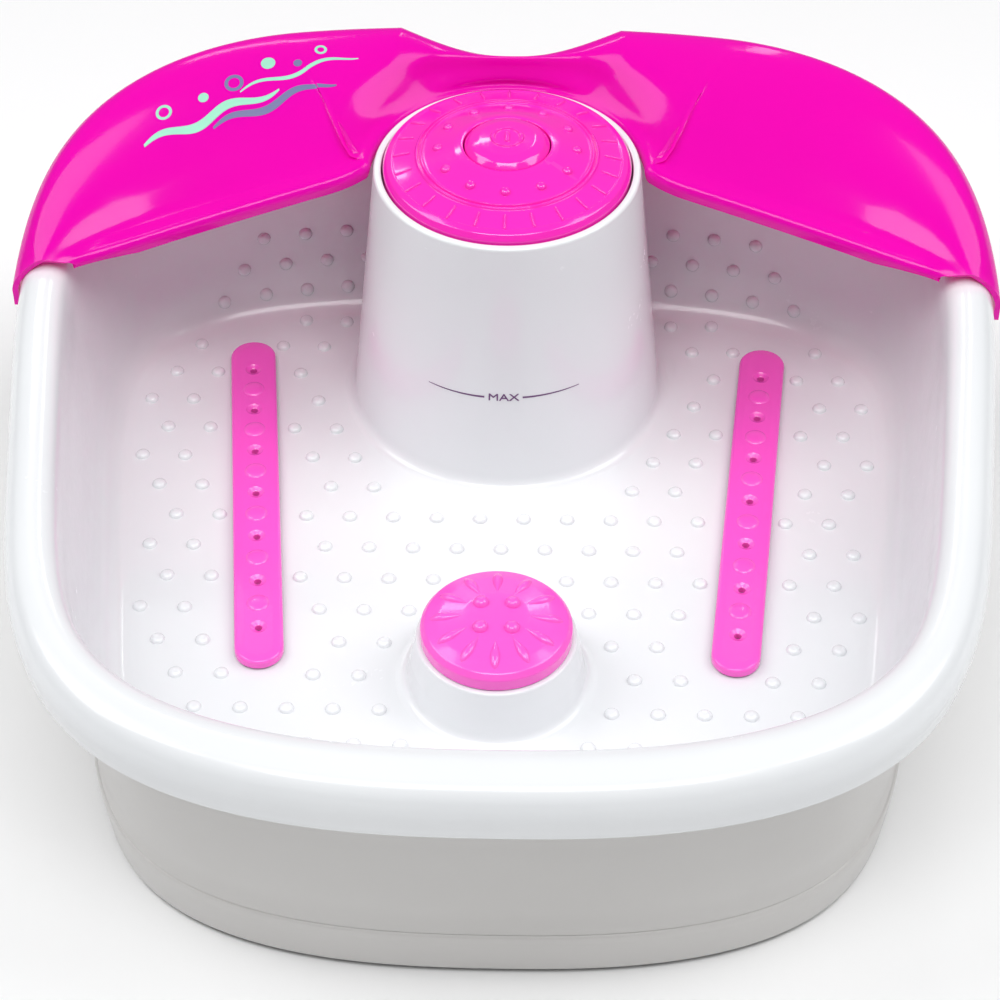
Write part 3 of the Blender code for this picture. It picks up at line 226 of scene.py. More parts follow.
def turn(bm, profile, segments, centre=(0, 0, 0), closed=False, move=None):
    """The profile of (radius, height) turned about centre's upright axis, then moved."""
    rows = []
    for radius, height in profile:
        if radius < 1e-7:
            rows.append([bm.verts.new((centre[0], centre[1], centre[2] + height))])
            continue
        rows.append([bm.verts.new((centre[0] + radius * math.cos(a),
                                   centre[1] + radius * math.sin(a), centre[2] + height))
                     for a in (2 * math.pi * k / segments for k in range(segments))])
    pairs = list(zip(rows, rows[1:]))
    if closed:
        pairs.append((rows[-1], rows[0]))
    for a, b in pairs:
        if len(a) == 1 and len(b) == 1:
            continue
        for k in range(segments):
            m = (k + 1) % segments
            corners = [a[0] if len(a) == 1 else a[k], *([] if len(a) == 1 else [a[m]]),
                       *([b[0]] if len(b) == 1 else [b[m], b[k]])]
            bm.faces.new(corners)
    if move:
        bmesh.ops.transform(bm, matrix=move, verts=[vert for row in rows for vert in row])


def ring_sections(bm, sections, capped, basin=False):
    """Rings of the rim's plan at (inset, height) in millimetres, joined in order."""
    loops = [[(p.x, p.y, z * MM) for p in ring(inset * MM, basin=basin)]
             for inset, z in sections]
    loft(bm, loops, closed=not capped, caps=capped)


def bump_dome(bm, place, normal, radius, height, segments=16):
    """A small domed bump that stands on a surface, sunk a little into it."""
    turn_to = Vector(normal).to_track_quat("Z", "Y").to_matrix().to_4x4()
    move = Matrix.Translation(place) @ turn_to
    profile = [(radius, -0.5 * MM), (radius, 0.0), (0.93 * radius, 0.42 * height),
               (0.74 * radius, 0.76 * height), (0.42 * radius, 0.96 * height), (0, height)]
    turn(bm, [(0, -0.5 * MM), *profile], segments, move=move)


def linked(name, bm, shift=SHIFT):
    """Turns the mesh into an object of the scene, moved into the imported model's frame."""
    bmesh.ops.translate(bm, verts=bm.verts, vec=shift)
    mesh = bpy.data.meshes.new(name)
    bm.to_mesh(mesh)
    bm.free()
    made = bpy.data.objects.new(name, mesh)
    bpy.context.scene.collection.objects.link(made)
    return made


def shaded(mesh, sharp):
    """Shades the mesh smooth, with edges over the angle in degrees kept sharp."""
    mesh.shade_smooth()
    mesh.set_sharp_from_angle(angle=math.radians(sharp))


def attached(made, body, stands_for):
    """Lets the piece ride on a body in place of a CAD node, which is hidden."""
    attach(made, body)
    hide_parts(stands_for)
    return made


def piece(name, bm, look, body, stands_for, sharp=40):
    """Turns the closed mesh into a finished piece that stands for a CAD node."""
    bmesh.ops.recalc_face_normals(bm, faces=bm.faces)
    made = linked(name, bm)
    made.data.materials.append(look)
    shaded(made.data, sharp)
    return attached(made, body, stands_for)


def apply_modifiers(made, sharp):
    """Keeps the mesh as the modifiers leave it, with its edges shaded again."""
    graph = bpy.context.evaluated_depsgraph_get()
    mesh = bpy.data.meshes.new_from_object(made.evaluated_get(graph))
    made.modifiers.clear()
    made.data = mesh
    shaded(mesh, sharp)


def cut(made, bm, sharp=45):
    """Cuts the closed shapes in bm, drawn in the plan frame, out of the piece."""
    bmesh.ops.recalc_face_normals(bm, faces=bm.faces)
    cutter = linked("cutter", bm)
    modifier = made.modifiers.new("cut", "BOOLEAN")
    modifier.operation = "DIFFERENCE"
    modifier.object = cutter
    apply_modifiers(made, sharp)
    bpy.data.objects.remove(cutter)


def surface(made):
    """The piece's faces as a tree that rays can be cast at."""
    return BVHTree.FromPolygons([v.co for v in made.data.vertices],
                                [p.vertices for p in made.data.polygons])


def cylinder(bm, place, radius, depth, segments, axis="Z"):
    """A closed cylinder about its middle, upright or along Y."""
    spin = Matrix.Identity(4) if axis == "Z" else Matrix.Rotation(math.pi / 2, 4, "X")
    bmesh.ops.create_cone(bm, cap_ends=True, segments=segments, radius1=radius,
                          radius2=radius, depth=depth, matrix=Matrix.Translation(place) @ spin)


# --- materials ---
def new_look(name):
    """A new material with its tree, its shader and a socket for the place on the object."""
    look = bpy.data.materials.new(name)
    look.use_nodes = True
    tree = look.node_tree
    place = tree.nodes.new("ShaderNodeTexCoord").outputs["Object"]
    return look, tree, tree.nodes["Principled BSDF"], place


def noise(tree, place, scale, detail=4.0, rough=0.5):
    """A noise value over the place."""
    node = tree.nodes.new("ShaderNodeTexNoise")
    node.inputs["Scale"].default_value = scale
    node.inputs["Detail"].default_value = detail
    node.inputs["Roughness"].default_value = rough
    tree.links.new(place, node.inputs["Vector"])
    return node.outputs["Fac"]


def ranged(tree, value, low, high, start=0.3, end=0.7):
    """The value's run from start to end turned into one from low to high."""
    node = tree.nodes.new("ShaderNodeMapRange")
    node.inputs["From Min"].default_value = start
    node.inputs["From Max"].default_value = end
    node.inputs["To Min"].default_value = low
    node.inputs["To Max"].default_value = high
    tree.links.new(value, node.inputs["Value"])
    return node.outputs["Result"]


def added(tree, first, second):
    """The sum of a socket and a second socket or number."""
    node = tree.nodes.new("ShaderNodeMath")
    node.operation = "ADD"
    tree.links.new(first, node.inputs[0])
    if isinstance(second, float):
        node.inputs[1].default_value = second
    else:
        tree.links.new(second, node.inputs[1])
    return node.outputs["Value"]


def mixed(tree, factor, first, second):
    """A colour between two, each a socket or a tuple."""
    node = tree.nodes.new("ShaderNodeMix")
    node.data_type = "RGBA"
    tree.links.new(factor, node.inputs["Factor"])
    for socket, value in ((node.inputs["A"], first), (node.inputs["B"], second)):
        if isinstance(value, tuple):
            socket.default_value = (*value, 1.0)
        else:
            tree.links.new(value, socket)
    return node.outputs["Result"]


def bumped(tree, shader, parts, strength):
    """A bump from (height, distance) pairs."""
    normal = None
    for height, distance in parts:
        node = tree.nodes.new("ShaderNodeBump")
        node.inputs["Strength"].default_value = strength
        node.inputs["Distance"].default_value = distance
        tree.links.new(height, node.inputs["Height"])
        if normal:
            tree.links.new(normal, node.inputs["Normal"])
        normal = node.outputs["Normal"]
    tree.links.new(normal, shader.inputs["Normal"])


def plastic(name, colour, shade, roughness, coat, scuff, ripple, through=0.0, gloss=0.5):
    """Moulded plastic: flow marks in the colour, fine orange peel, scuffs and a paler tone on
    sharp edges.

    The share named through is light that passes the wall and leaves it on the other side.
    """
    look, tree, shader, place = new_look(name)
    edges = tree.nodes.new("ShaderNodeNewGeometry").outputs["Pointiness"]
    flow = ranged(tree, noise(tree, place, 9, 3), 0.0, 1.0)
    body = mixed(tree, flow, colour, shade)
    # Sharp convex edges, found by pointiness, are blended towards a paler tone.
    paler_edges = ranged(tree, edges, 0.0, 0.22, 0.52, 0.62)
    pale = tuple(min(1.0, c * 0.9 + 0.1) for c in colour)
    tree.links.new(mixed(tree, paler_edges, body, pale), shader.inputs["Base Color"])
    smear = ranged(tree, noise(tree, place, 26, 5, 0.62), 0.0, scuff)
    fine = ranged(tree, noise(tree, place, 420, 2), -0.012, 0.012)
    tree.links.new(added(tree, added(tree, smear, fine), roughness), shader.inputs["Roughness"])
    bumped(tree, shader, [(noise(tree, place, 320, 2), ripple),
                          (noise(tree, place, 38, 2), 2.2 * ripple)], 0.5)
    shader.inputs["IOR"].default_value = 1.5
    shader.inputs["Specular IOR Level"].default_value = gloss
    shader.inputs["Coat Weight"].default_value = coat
    shader.inputs["Coat Roughness"].default_value = 0.04
    if through:
        lit = tree.nodes.new("ShaderNodeBsdfTranslucent")
        lit.inputs["Color"].default_value = (*colour, 1.0)
        share = tree.nodes.new("ShaderNodeMixShader")
        share.inputs["Fac"].default_value = through
        tree.links.new(shader.outputs["BSDF"], share.inputs[1])
        tree.links.new(lit.outputs["BSDF"], share.inputs[2])
        tree.links.new(share.outputs["Shader"], tree.nodes["Material Output"].inputs["Surface"])
    return look


def metal(name, colour, roughness, grain):
    """Plated or drawn metal: fine grain, dull patches and a little tarnish."""
    look, tree, shader, place = new_look(name)
    patches = ranged(tree, noise(tree, place, 60, 4), 0.0, 1.0)
    dull = tuple(0.72 * c for c in colour)
    tree.links.new(mixed(tree, patches, colour, dull), shader.inputs["Base Color"])
    spread = ranged(tree, noise(tree, place, 180, 5), -0.06, 0.1)
    tree.links.new(added(tree, spread, roughness), shader.inputs["Roughness"])
    shader.inputs["Metallic"].default_value = 1.0
    bumped(tree, shader, [(noise(tree, place, grain, 3), 0.00004)], 0.5)
    return look


def matt(name, colour, roughness, grain, depth):
    """Rubber or nylon: a fine moulded grain, patches of dust and rubbed edges."""
    look, tree, shader, place = new_look(name)
    edges = tree.nodes.new("ShaderNodeNewGeometry").outputs["Pointiness"]
    dusty = tuple(0.8 * c + 0.04 for c in colour)
    body = mixed(tree, ranged(tree, noise(tree, place, 45, 5), 0.0, 1.0), colour, dusty)
    rubbed = tuple(0.85 * c + 0.05 for c in colour)
    tree.links.new(mixed(tree, ranged(tree, edges, 0.0, 0.6, 0.52, 0.6), body, rubbed),
                   shader.inputs["Base Color"])
    spread = ranged(tree, noise(tree, place, 120, 3), -0.08, 0.08)
    tree.links.new(added(tree, spread, roughness), shader.inputs["Roughness"])
    bumped(tree, shader, [(noise(tree, place, grain, 3), depth)], 0.6)
    return look


def wound(name):
    """Enamelled copper wire laid side by side."""
    look, tree, shader, place = new_look(name)
    wave = tree.nodes.new("ShaderNodeTexWave")
    wave.inputs["Scale"].default_value = 320
    wave.inputs["Distortion"].default_value = 0.6
    tree.links.new(place, wave.inputs["Vector"])
    tree.links.new(mixed(tree, wave.outputs["Fac"], (0.30, 0.10, 0.035), (0.80, 0.38, 0.17)),
                   shader.inputs["Base Color"])
    shader.inputs["Metallic"].default_value = 0.85
    tree.links.new(ranged(tree, noise(tree, place, 90), 0.25, 0.45), shader.inputs["Roughness"])
    bumped(tree, shader, [(wave.outputs["Fac"], 0.0002)], 0.7)
    return look


def hose_look(name):
    """Soft, cloudy hose plastic."""
    look, tree, shader, place = new_look(name)
    tree.links.new(mixed(tree, noise(tree, place, 70), (0.74, 0.78, 0.78), (0.86, 0.88, 0.86)),
                   shader.inputs["Base Color"])
    tree.links.new(ranged(tree, noise(tree, place, 150), 0.22, 0.36), shader.inputs["Roughness"])
    shader.inputs["Transmission Weight"].default_value = 0.55
    shader.inputs["IOR"].default_value = 1.45
    bumped(tree, shader, [(noise(tree, place, 500), 0.00005)], 0.5)
    return look


WHITE = plastic("white_moulding", (0.82, 0.835, 0.85), (0.79, 0.805, 0.825), 0.20, 0.35,
                0.07, 0.00005)
# Painted shade: the shell and pan are the same white plastic as the rim, darkened to grey to
# stand in for the shade under the rim's overhang.
HOUSING_PAINTED_SHADE = plastic("housing_moulding_painted_shade", (0.64, 0.625, 0.61), (0.61, 0.595, 0.58), 0.30, 0.15,
                  0.09, 0.00008)
GUARD = plastic("guard_moulding", (1.0, 0.0, 0.60), (0.96, 0.0, 0.57), 0.10, 0.15,
                0.05, 0.00004, 0.36, 0.28)
DIAL = plastic("dial_moulding", (1.0, 0.02, 0.52), (0.95, 0.016, 0.48), 0.11, 0.6,
               0.05, 0.00004)
STRIP = plastic("strip_moulding", (1.0, 0.11, 0.63), (0.96, 0.10, 0.59), 0.20, 0.35,
                0.06, 0.00006)
LEGEND = matt("legend_ink", (0.12, 0.015, 0.15), 0.45, 900, 0.00002)
MINT = matt("decal_mint", (0.34, 0.80, 0.58), 0.42, 900, 0.00002)
SLATE = matt("decal_slate", (0.16, 0.17, 0.36), 0.42, 900, 0.00002)
RUBBER = matt("black_rubber", (0.035, 0.035, 0.038), 0.78, 700, 0.00012)
NYLON = matt("black_nylon", (0.03, 0.03, 0.033), 0.42, 500, 0.00008)
BOARD = matt("board_mask", (0.02, 0.20, 0.07), 0.35, 300, 0.00005)
STEEL = metal("plated_steel", (0.62, 0.62, 0.64), 0.28, 900)
COPPER = wound("copper_winding")
HOSE = hose_look("soft_hose")


# --- the tub ---
def on_floor(rise):
    """A height in millimetres, given from the floor's top."""
    return FLOOR_TOP / MM + rise


def under_rim(drop):
    """A height in millimetres, given down from the rim's top."""
    return RIM_TOP / MM - drop


def up_wall(share):
    """A height in millimetres, as a share of the way from the floor to the rim's top."""
    return (FLOOR_TOP + share * (RIM_TOP - FLOOR_TOP)) / MM


def make_bowl():
    """The moulded bowl: floor, cove, wall, rolled rim and its outer skirt."""
    skirt = SKIRT_EDGE / MM
    wet = [(44, on_floor(0)), (40, on_floor(0.35)), (36, on_floor(1.6)), (29.5, on_floor(9)),
           (22.6, up_wall(0.66)), (20.6, under_rim(9)), (18.6, under_rim(3.4)),
           (15, under_rim(0.8)), (10.5, under_rim(0)), (5.2, under_rim(1.5)),
           (1.6, under_rim(5.5)), (0, under_rim(12)), (0.9, skirt + 4), (1.4, skirt + 0.9)]
    curve = [(max(0.0, p.x), min(RIM_TOP / MM, p.y)) for p in smooth_curve(wet, 6)]
    edge = [(1.9, skirt + 0.2), (2.6, skirt), (3.5, skirt + 0.2), (4.2, skirt + 1)]
    dry = smooth_curve([(4.2, skirt + 1.6), (3, under_rim(14)), (5.2, under_rim(5.6)),
                        (11, under_rim(2.8)), (15.6, under_rim(4.6)), (17.8, under_rim(9)),
                        (19.8, up_wall(0.66)), (26.7, on_floor(6.6)), (33.6, on_floor(-1.4)),
                        (42, on_floor(-3.4))], 3)
    bm = bmesh.new()
    start = [(52, on_floor(0)), (46, on_floor(0))]
    ring_sections(bm, [*start, *curve, *edge, *dry, (50, on_floor(-3.4))], True, basin=True)
    return piece("basin_bowl", bm, WHITE, "basin", "tub", 50)


def tower_radius(z):
    """The tower's radius at a height, both in metres."""
    share = (z - FLOOR_TOP) / (TOWER_TOP - FLOOR_TOP)
    return TOWER_FOOT_RADIUS + share * (TOWER_TOP_RADIUS - TOWER_FOOT_RADIUS)


def wall_middle_y(x, z):
    """Y in the middle of the thickness of the tub's rear wall, at that x and height."""
    heights = [(0, 40), (on_floor(-3), 38), (on_floor(1.5), 36), (on_floor(8), 31.6),
               (up_wall(0.2), 28.2), (up_wall(0.66), 22.4), (under_rim(2), 19), (400, 19)]
    for (low, a), (high, b) in zip(heights, heights[1:]):
        if z / MM <= high:
            inset = a + (b - a) * (z / MM - low) / (high - low)
            break
    width = RIM_HALF_WIDTH + RIM_TAPER * RIM_REAR
    plan = RIM_REAR * (1 - (abs(x) / width) ** (1 / RIM_POWER)) ** (1 / RIM_SQUARENESS)
    return plan - (inset + 1.4) * MM


def make_tower():
    """The control tower: a hollow cone with a flared foot and the dial's recess."""
    top, foot = TOWER_TOP / MM, FLOOR_TOP / MM

    def at(z):
        return tower_radius(z * MM) / MM

    recess, recess_z, bore = RECESS_RADIUS / MM, RECESS_FLOOR / MM, 9.3
    under = recess_z - 2.9
    outline = [(bore, recess_z, 0.4), (recess, recess_z, 0.8), (recess, top, 0.7),
               (at(top), top, 1.5), (at(foot + 2), foot + 0.05, 9.0), (76, foot - 0.15, 0),
               (75, foot - 2.6, 0), (at(foot) - 2.8, foot - 2.6, 0), (at(148) - 2.8, under, 1.5),
               (bore, under, 0.4)]
    bm = bmesh.new()
    turn(bm, filleted(outline, 7, closed=True), 160, (0, TOWER_Y, 0), closed=True)
    for vert in bm.verts:
        away = math.hypot(vert.co.x, vert.co.y - TOWER_Y)
        inner = away < tower_radius(vert.co.z) - 1.4 * MM
        limit = wall_middle_y(vert.co.x, vert.co.z) - (2.8 * MM if inner else 0)
        vert.co.y = min(vert.co.y, limit)
    piece("control_tower", bm, WHITE, "basin", "tub", 32)
    bm = bmesh.new()
    heights = [on_floor(2), on_floor(8), up_wall(0.2), up_wall(0.4), up_wall(0.66), under_rim(9),
               under_rim(3.4), under_rim(1.6)]
    front = TOWER_Y + 42 * MM
    loops = []
    for z in heights:
        half = 40 * MM if z < under_rim(3) else 39 * MM
        steps = [half * (k / 6 - 1) for k in range(13)]
        back = [(x, wall_middle_y(x, z * MM), z * MM) for x in reversed(steps)]
        loops.append([(-half, front, z * MM), (half, front, z * MM), *back])
    loft(bm, loops)
    piece("tower_bridge", bm, WHITE, "basin", "tub")


def make_boss():
    """The round boss in the floor, with the socket for the disc's spindle."""
    top = BOSS_TOP / MM
    outline = [(0, 54, 0), (7.3, 54, 0.5), (7.3, top, 0.6), (31.2, top, 1.4), (33.4, 57, 6),
               (35.2, 45.2, 5), (42, 44.9, 0), (41.5, 43, 0), (0, 43, 0)]
    bm = bmesh.new()
    turn(bm, filleted(outline, 7), 120, (0, DISC_Y, 0))
    piece("disc_boss", bm, WHITE, "basin", "tub", 32)


def in_strip(x, y, margin):
    """Whether a point of the floor lies under a bubble strip or within the margin."""
    along = Vector((math.sin(STRIP_SPLAY), math.cos(STRIP_SPLAY)))
    away = Vector((abs(x), y)) - STRIP_CENTRE
    reach = max(0.0, abs(away.dot(along)) - (STRIP_LENGTH - STRIP_WIDTH) / 2)
    return math.hypot(reach, away.x * along.y - away.y * along.x) < STRIP_WIDTH / 2 + margin


def nub_rays():
    """A start and a way, in the plan frame, for the ray that finds each nub's place."""
    inner = ring(41 * MM, basin=True)
    for row, y in enumerate([158 * MM, *[141 * MM - NUB_PITCH * k for k in range(16)]]):
        edge = max((p.x for p in inner if abs(p.y - y) < 6 * MM), default=0) - 4 * MM
        for k in range(-9, 10):
            x = (k + 0.5 * (row % 2)) * NUB_PITCH
            from_tower, from_disc = math.hypot(x, y - TOWER_Y), math.hypot(x, y - DISC_Y)
            if (abs(x) <= edge and from_tower >= 77 * MM and from_disc >= 46 * MM
                    and not in_strip(x, y, 4.5 * MM)):
                yield Vector((x, y, 0.12)), Vector((0, 0, -1))
    for row, z in enumerate((55, 68, 82)):
        for k in range(-9, 10):
            x = (k + 0.5 * (row % 2)) * NUB_PITCH
            if tower_radius(z * MM) - 2 * MM <= abs(x) <= (128 - 0.35 * (z - 55)) * MM:
                yield Vector((x, 0.06, z * MM)), Vector((0, 1, 0))


def make_nubs(bowl):
    """Rows of small domes on the floor and up the rear wall."""
    tree = surface(bowl)
    bm = bmesh.new()
    for start, way in nub_rays():
        place, normal, _, _ = tree.ray_cast(start + SHIFT, way)
        if place is None:
            continue
        if normal.dot(way) > 0:
            normal = -normal
        bump_dome(bm, place - SHIFT, normal, NUB_RADIUS, NUB_HEIGHT)
    piece("floor_nubs", bm, WHITE, "basin", "tub", 60)


def make_shell():
    """The tapered outer shell under the rim, with the hole for the cord's gland."""
    top, low = under_rim(5), PLINTH_TOP / MM + 0.3
    outside = smooth_curve([(12.5, top), (14.2, under_rim(22)), (21.4, low + 40),
                            (23.6, low + 18), (25.0, low + 8), (24.9, low + 2.4),
                            (24.4, low)], 6)
    inside = [(27.1, low), (27.9, low + 6), (26.4, low + 14), (23.8, low + 40),
              (16.6, under_rim(22)), (14.9, top)]
    bm = bmesh.new()
    ring_sections(bm, [*outside, *inside], False)
    # The housing colour on the shell is painted shade from the rim's overhang.
    shell = piece("housing_shell", bm, HOUSING_PAINTED_SHADE, "basin", "outer_shell", 45)
    bm = bmesh.new()
    cylinder(bm, (0, 0.18, GLAND_Z), 5.9 * MM, 0.06, 32, axis="Y")
    cut(shell, bm)


def make_pan():
    """The plinth-edged pan that closes the bottom, with vents and holes for its screws."""
    ledge = PLINTH_TOP / MM
    tray = filleted([(27.2, ledge, 0.3), (23.5, ledge, 1.6), (23.4, ledge - 4, 2),
                     (25.4, 3.4, 2), (26.6, 2.0, 0.8), (28.4, 2.0, 0.5), (29.2, 6.0, 0.5)], 3)
    sections = [(31, 8.4), (27.4, 9.4), *[(p.x / MM, p.y / MM) for p in tray], (40, 6.0)]
    bm = bmesh.new()
    ring_sections(bm, [(40, 8.4), *sections], True)
    # The housing colour on the pan is painted shade from the rim's overhang.
    pan = piece("housing_pan", bm, HOUSING_PAINTED_SHADE, "basin", "base_pan", 45)
    bm = bmesh.new()
    for node in frame["nodes"]:
        low_corner, high_corner = BOX(node)
        middle = (low_corner + high_corner) / 2 - SHIFT
        if node.startswith("base_screw"):
            cylinder(bm, (middle.x, middle.y, 0.01), 1.8 * MM, 0.03, 20)
        if node.startswith("rubber_foot"):
            cylinder(bm, (middle.x, middle.y, 0.01), 3.3 * MM, 0.03, 24)
    for row in range(7):
        for side in (1, -1):
            place = Vector((side * 60, -96 + 8 * row, 7)) * MM
            reach = Vector((34, 3.2, 20)) * MM
            bmesh.ops.create_cube(bm, size=1, matrix=Matrix.Translation(place)
                                  @ Matrix.Diagonal((*reach, 1)))
    cut(pan, bm)


def make_gland():
    """The rubber bush where the mains cord would leave the shell."""
    bm = bmesh.new()
    profile = filleted([(2.6, 7.4, 0.5), (4.6, 7.4, 0.8), (6.2, 4.6, 1), (7.6, 3.8, 0.5),
                        (7.6, 2.0, 0.3), (5.6, 1.9, 0.2), (5.6, -4.0, 0.4), (2.6, -4.0, 0.4)],
                       4, closed=True)
    swing = Matrix.Translation((0, GLAND_Y, GLAND_Z)) @ Matrix.Rotation(-math.pi / 2, 4, "X")
    turn(bm, profile, 48, closed=True, move=swing)
    piece("gland_bush", bm, RUBBER, "basin", "cord_gland")


# --- bubble strips ---
def bar_outline(width, length, steps=14):
    """A bar's plan with two round ends, along Y."""
    radius, reach = width / 2, length / 2 - width / 2
    outline = []
    for end in (1, -1):
        for k in range(steps + 1):
            a = math.pi * k / steps + (0 if end == 1 else math.pi)
            outline.append((radius * math.cos(a), end * reach + radius * math.sin(a)))
    return outline


def make_strip(side, word):
    """A bubble strip: a crowned bar with dished air holes and low bumps in turn."""
    node = f"bubble_strip_{word}"
    low, high = BOX(node)
    matrix = (Matrix.Translation((side * STRIP_CENTRE.x, STRIP_CENTRE.y, 0))
              @ Matrix.Rotation(-side * STRIP_SPLAY, 4, "Z"))
    section = filleted([(0, low.z / MM, 0), (0, high.z / MM - 0.35, 1.6), (4, high.z / MM, 3),
                        (8.6, high.z / MM, 0)], 6)
    bm = bmesh.new()
    loops = [[matrix @ Vector((x, y, p.y)) for x, y in
              bar_outline(STRIP_WIDTH - 2 * p.x, STRIP_LENGTH - 2 * p.x)] for p in section]
    loft(bm, loops)
    strip = piece(f"strip_bar_{word}", bm, STRIP, "basin", node, 40)
    dish = [(r * MM, high.z + z * MM) for r, z in
            ((0, -8), (1.5, -8), (1.5, -1.0), (2.0, -0.6), (3.4, -0.1), (4.0, 0.6), (0, 0.6))]
    bm = bmesh.new()
    for k in range(STRIP_HOLES):
        y = (k - (STRIP_HOLES - 1) / 2) * STRIP_PITCH
        turn(bm, dish, 28, (0, y, 0), move=matrix)
    cut(strip, bm, 40)
    bm = bmesh.new()
    for k in range(STRIP_HOLES - 1):
        y = (k - (STRIP_HOLES - 2) / 2) * STRIP_PITCH
        place = matrix @ Vector((0, y, high.z - 0.35 * MM))
        bump_dome(bm, place, (0, 0, 1), 4.8 * MM, 1.3 * MM, 24)
    piece(f"strip_bumps_{word}", bm, STRIP, "basin", node, 60)


# --- dial and button ---
def on_dome(radius):
    """Height of the dial's domed top at a radius, both in millimetres."""
    edge, well = DIAL_RADIUS / MM - 1.8, BUTTON_WELL / MM
    return (DIAL_TOP + DIAL_CROWN * (edge - radius) / (edge - well)) / MM


def make_dial():
    """The selector dial: a domed cap with a double ring line and a button well."""
    top, edge, well = DIAL_TOP / MM, DIAL_RADIUS / MM, BUTTON_WELL / MM
    line, crown = 0.707 * edge, on_dome(well)

    def up(radius, rise):
        return radius, on_dome(radius) + rise

    hub, hub_end, under, skirt = 9, 141.3, 153.5, 152.3
    outline = [(well, 156, 0), (well, crown - 0.8, 0.5), (*up(well + 1.3, -0.25), 0.6),
               (*up(well + 3.6, -0.15), 1.5), (*up(28, -0.45), 12), (*up(line - 2.2, -0.75), 1.5),
               (*up(line - 1.4, -0.55), 0.4), (*up(line - 1.0, 0.4), 0.3),
               (*up(line - 0.4, 0.4), 0.3), (*up(line - 0.1, -0.55), 0.25),
               (*up(line + 0.5, -0.55), 0.25), (*up(line + 0.8, 0.4), 0.3),
               (*up(line + 1.3, 0.4), 0.3), (*up(line + 1.8, -0.3), 0.5),
               (*up(edge - 4.4, -0.25), 0.5), (*up(edge - 3.7, 0.25), 0.8),
               (edge - 1.4, top - 0.25, 1.6), (edge, top - 2.6, 2.2), (edge, skirt, 0.5),
               (edge - 2.5, skirt, 0.3), (edge - 2.5, top - 3, 1), (well + 2.3, crown - 4, 1),
               (well + 2.3, under, 0.5), (hub, under, 0.5), (hub, hub_end, 0.3),
               (hub - 1.8, hub_end, 0.3), (hub - 1.8, 156, 0.4)]
    bm = bmesh.new()
    turn(bm, filleted(outline, 5, closed=True), 192, (0, TOWER_Y, 0), closed=True)
    piece("dial_cap", bm, DIAL, "dial", "control_dial", 35)

    bm = bmesh.new()
    centre = Vector((0, TOWER_Y, 0))
    first, last = line + 3.6, edge - 4.0
    arch = [(-1, -0.3), (-0.95, 0.35), (-0.6, 0.85), (0, 1), (0.6, 0.85), (0.95, 0.35), (1, -0.3)]
    for k in range(DIAL_RIBS):
        out, across = spoke(k, DIAL_RIBS)
        loops = []
        for share, half, height in ((0, 0.08, 0.05), (0.03, 0.42, 0.8), (0.09, 0.52, 1.15),
                                    (0.91, 0.52, 1.15), (0.97, 0.42, 0.8), (1, 0.08, 0.05)):
            r = first + share * (last - first)
            base = centre + out * r * MM + Vector((0, 0, (on_dome(r) - 0.5) * MM))
            loops.append([base + across * (x * half * MM) + Vector((0, 0, height * z * MM))
                          for x, z in arch])
        loft(bm, loops)
    piece("dial_ribs", bm, DIAL, "dial", "control_dial", 50)

    bm = bmesh.new()
    for k in range(DIAL_PEARLS):
        out = spoke(k, DIAL_PEARLS)[0]
        place = centre + out * PEARL_CIRCLE
        place.z = (on_dome(PEARL_CIRCLE / MM) - 0.75) * MM
        bump_dome(bm, place, out * 0.26 + Vector((0, 0, 1)), 2.2 * MM, 1.7 * MM, 24)
    piece("dial_pearls", bm, DIAL, "dial", "control_dial", 60)


def make_button():
    """The domed power button, with a raised ring and bar on it."""
    low, high = BOX("power_button")
    top, edge = high.z / MM, (high.x - low.x) / 2 / MM
    outline = [(0, top - 0.75, 0), (5.0, top - 0.8, 0.6), (5.4, top, 0.35), (6.5, top, 0.35),
               (6.9, top - 0.8, 0.5), (11.5, top - 1.2, 6), (15.2, top - 2.3, 3),
               (edge, top - 4.6, 1.4), (edge, top - 8, 0.4), (6.6, top - 8, 0.4),
               (6.6, 155.7, 0.3), (3.9, 155.7, 0.5), (3.9, 141.8, 0.3), (2.2, 141.0, 0.3),
               (2.2, low.z / MM, 0.3), (0, low.z / MM, 0)]
    bm = bmesh.new()
    turn(bm, filleted(outline, 6), 120, (0, TOWER_Y, 0))
    piece("button_cap", bm, DIAL, "button", "power_button", 35)
    bm = bmesh.new()
    loops = []
    for z, grow in ((-1.0, 0), (-0.3, 0), (-0.1, -0.12), (-0.02, -0.4)):
        loops.append([(x, y + TOWER_Y, high.z + z * MM) for x, y in
                      bar_outline(1.7 * MM + 2 * grow * MM, 6.4 * MM + 2 * grow * MM, 8)])
    loft(bm, loops)
    piece("button_mark", bm, DIAL, "button", "power_button", 50)


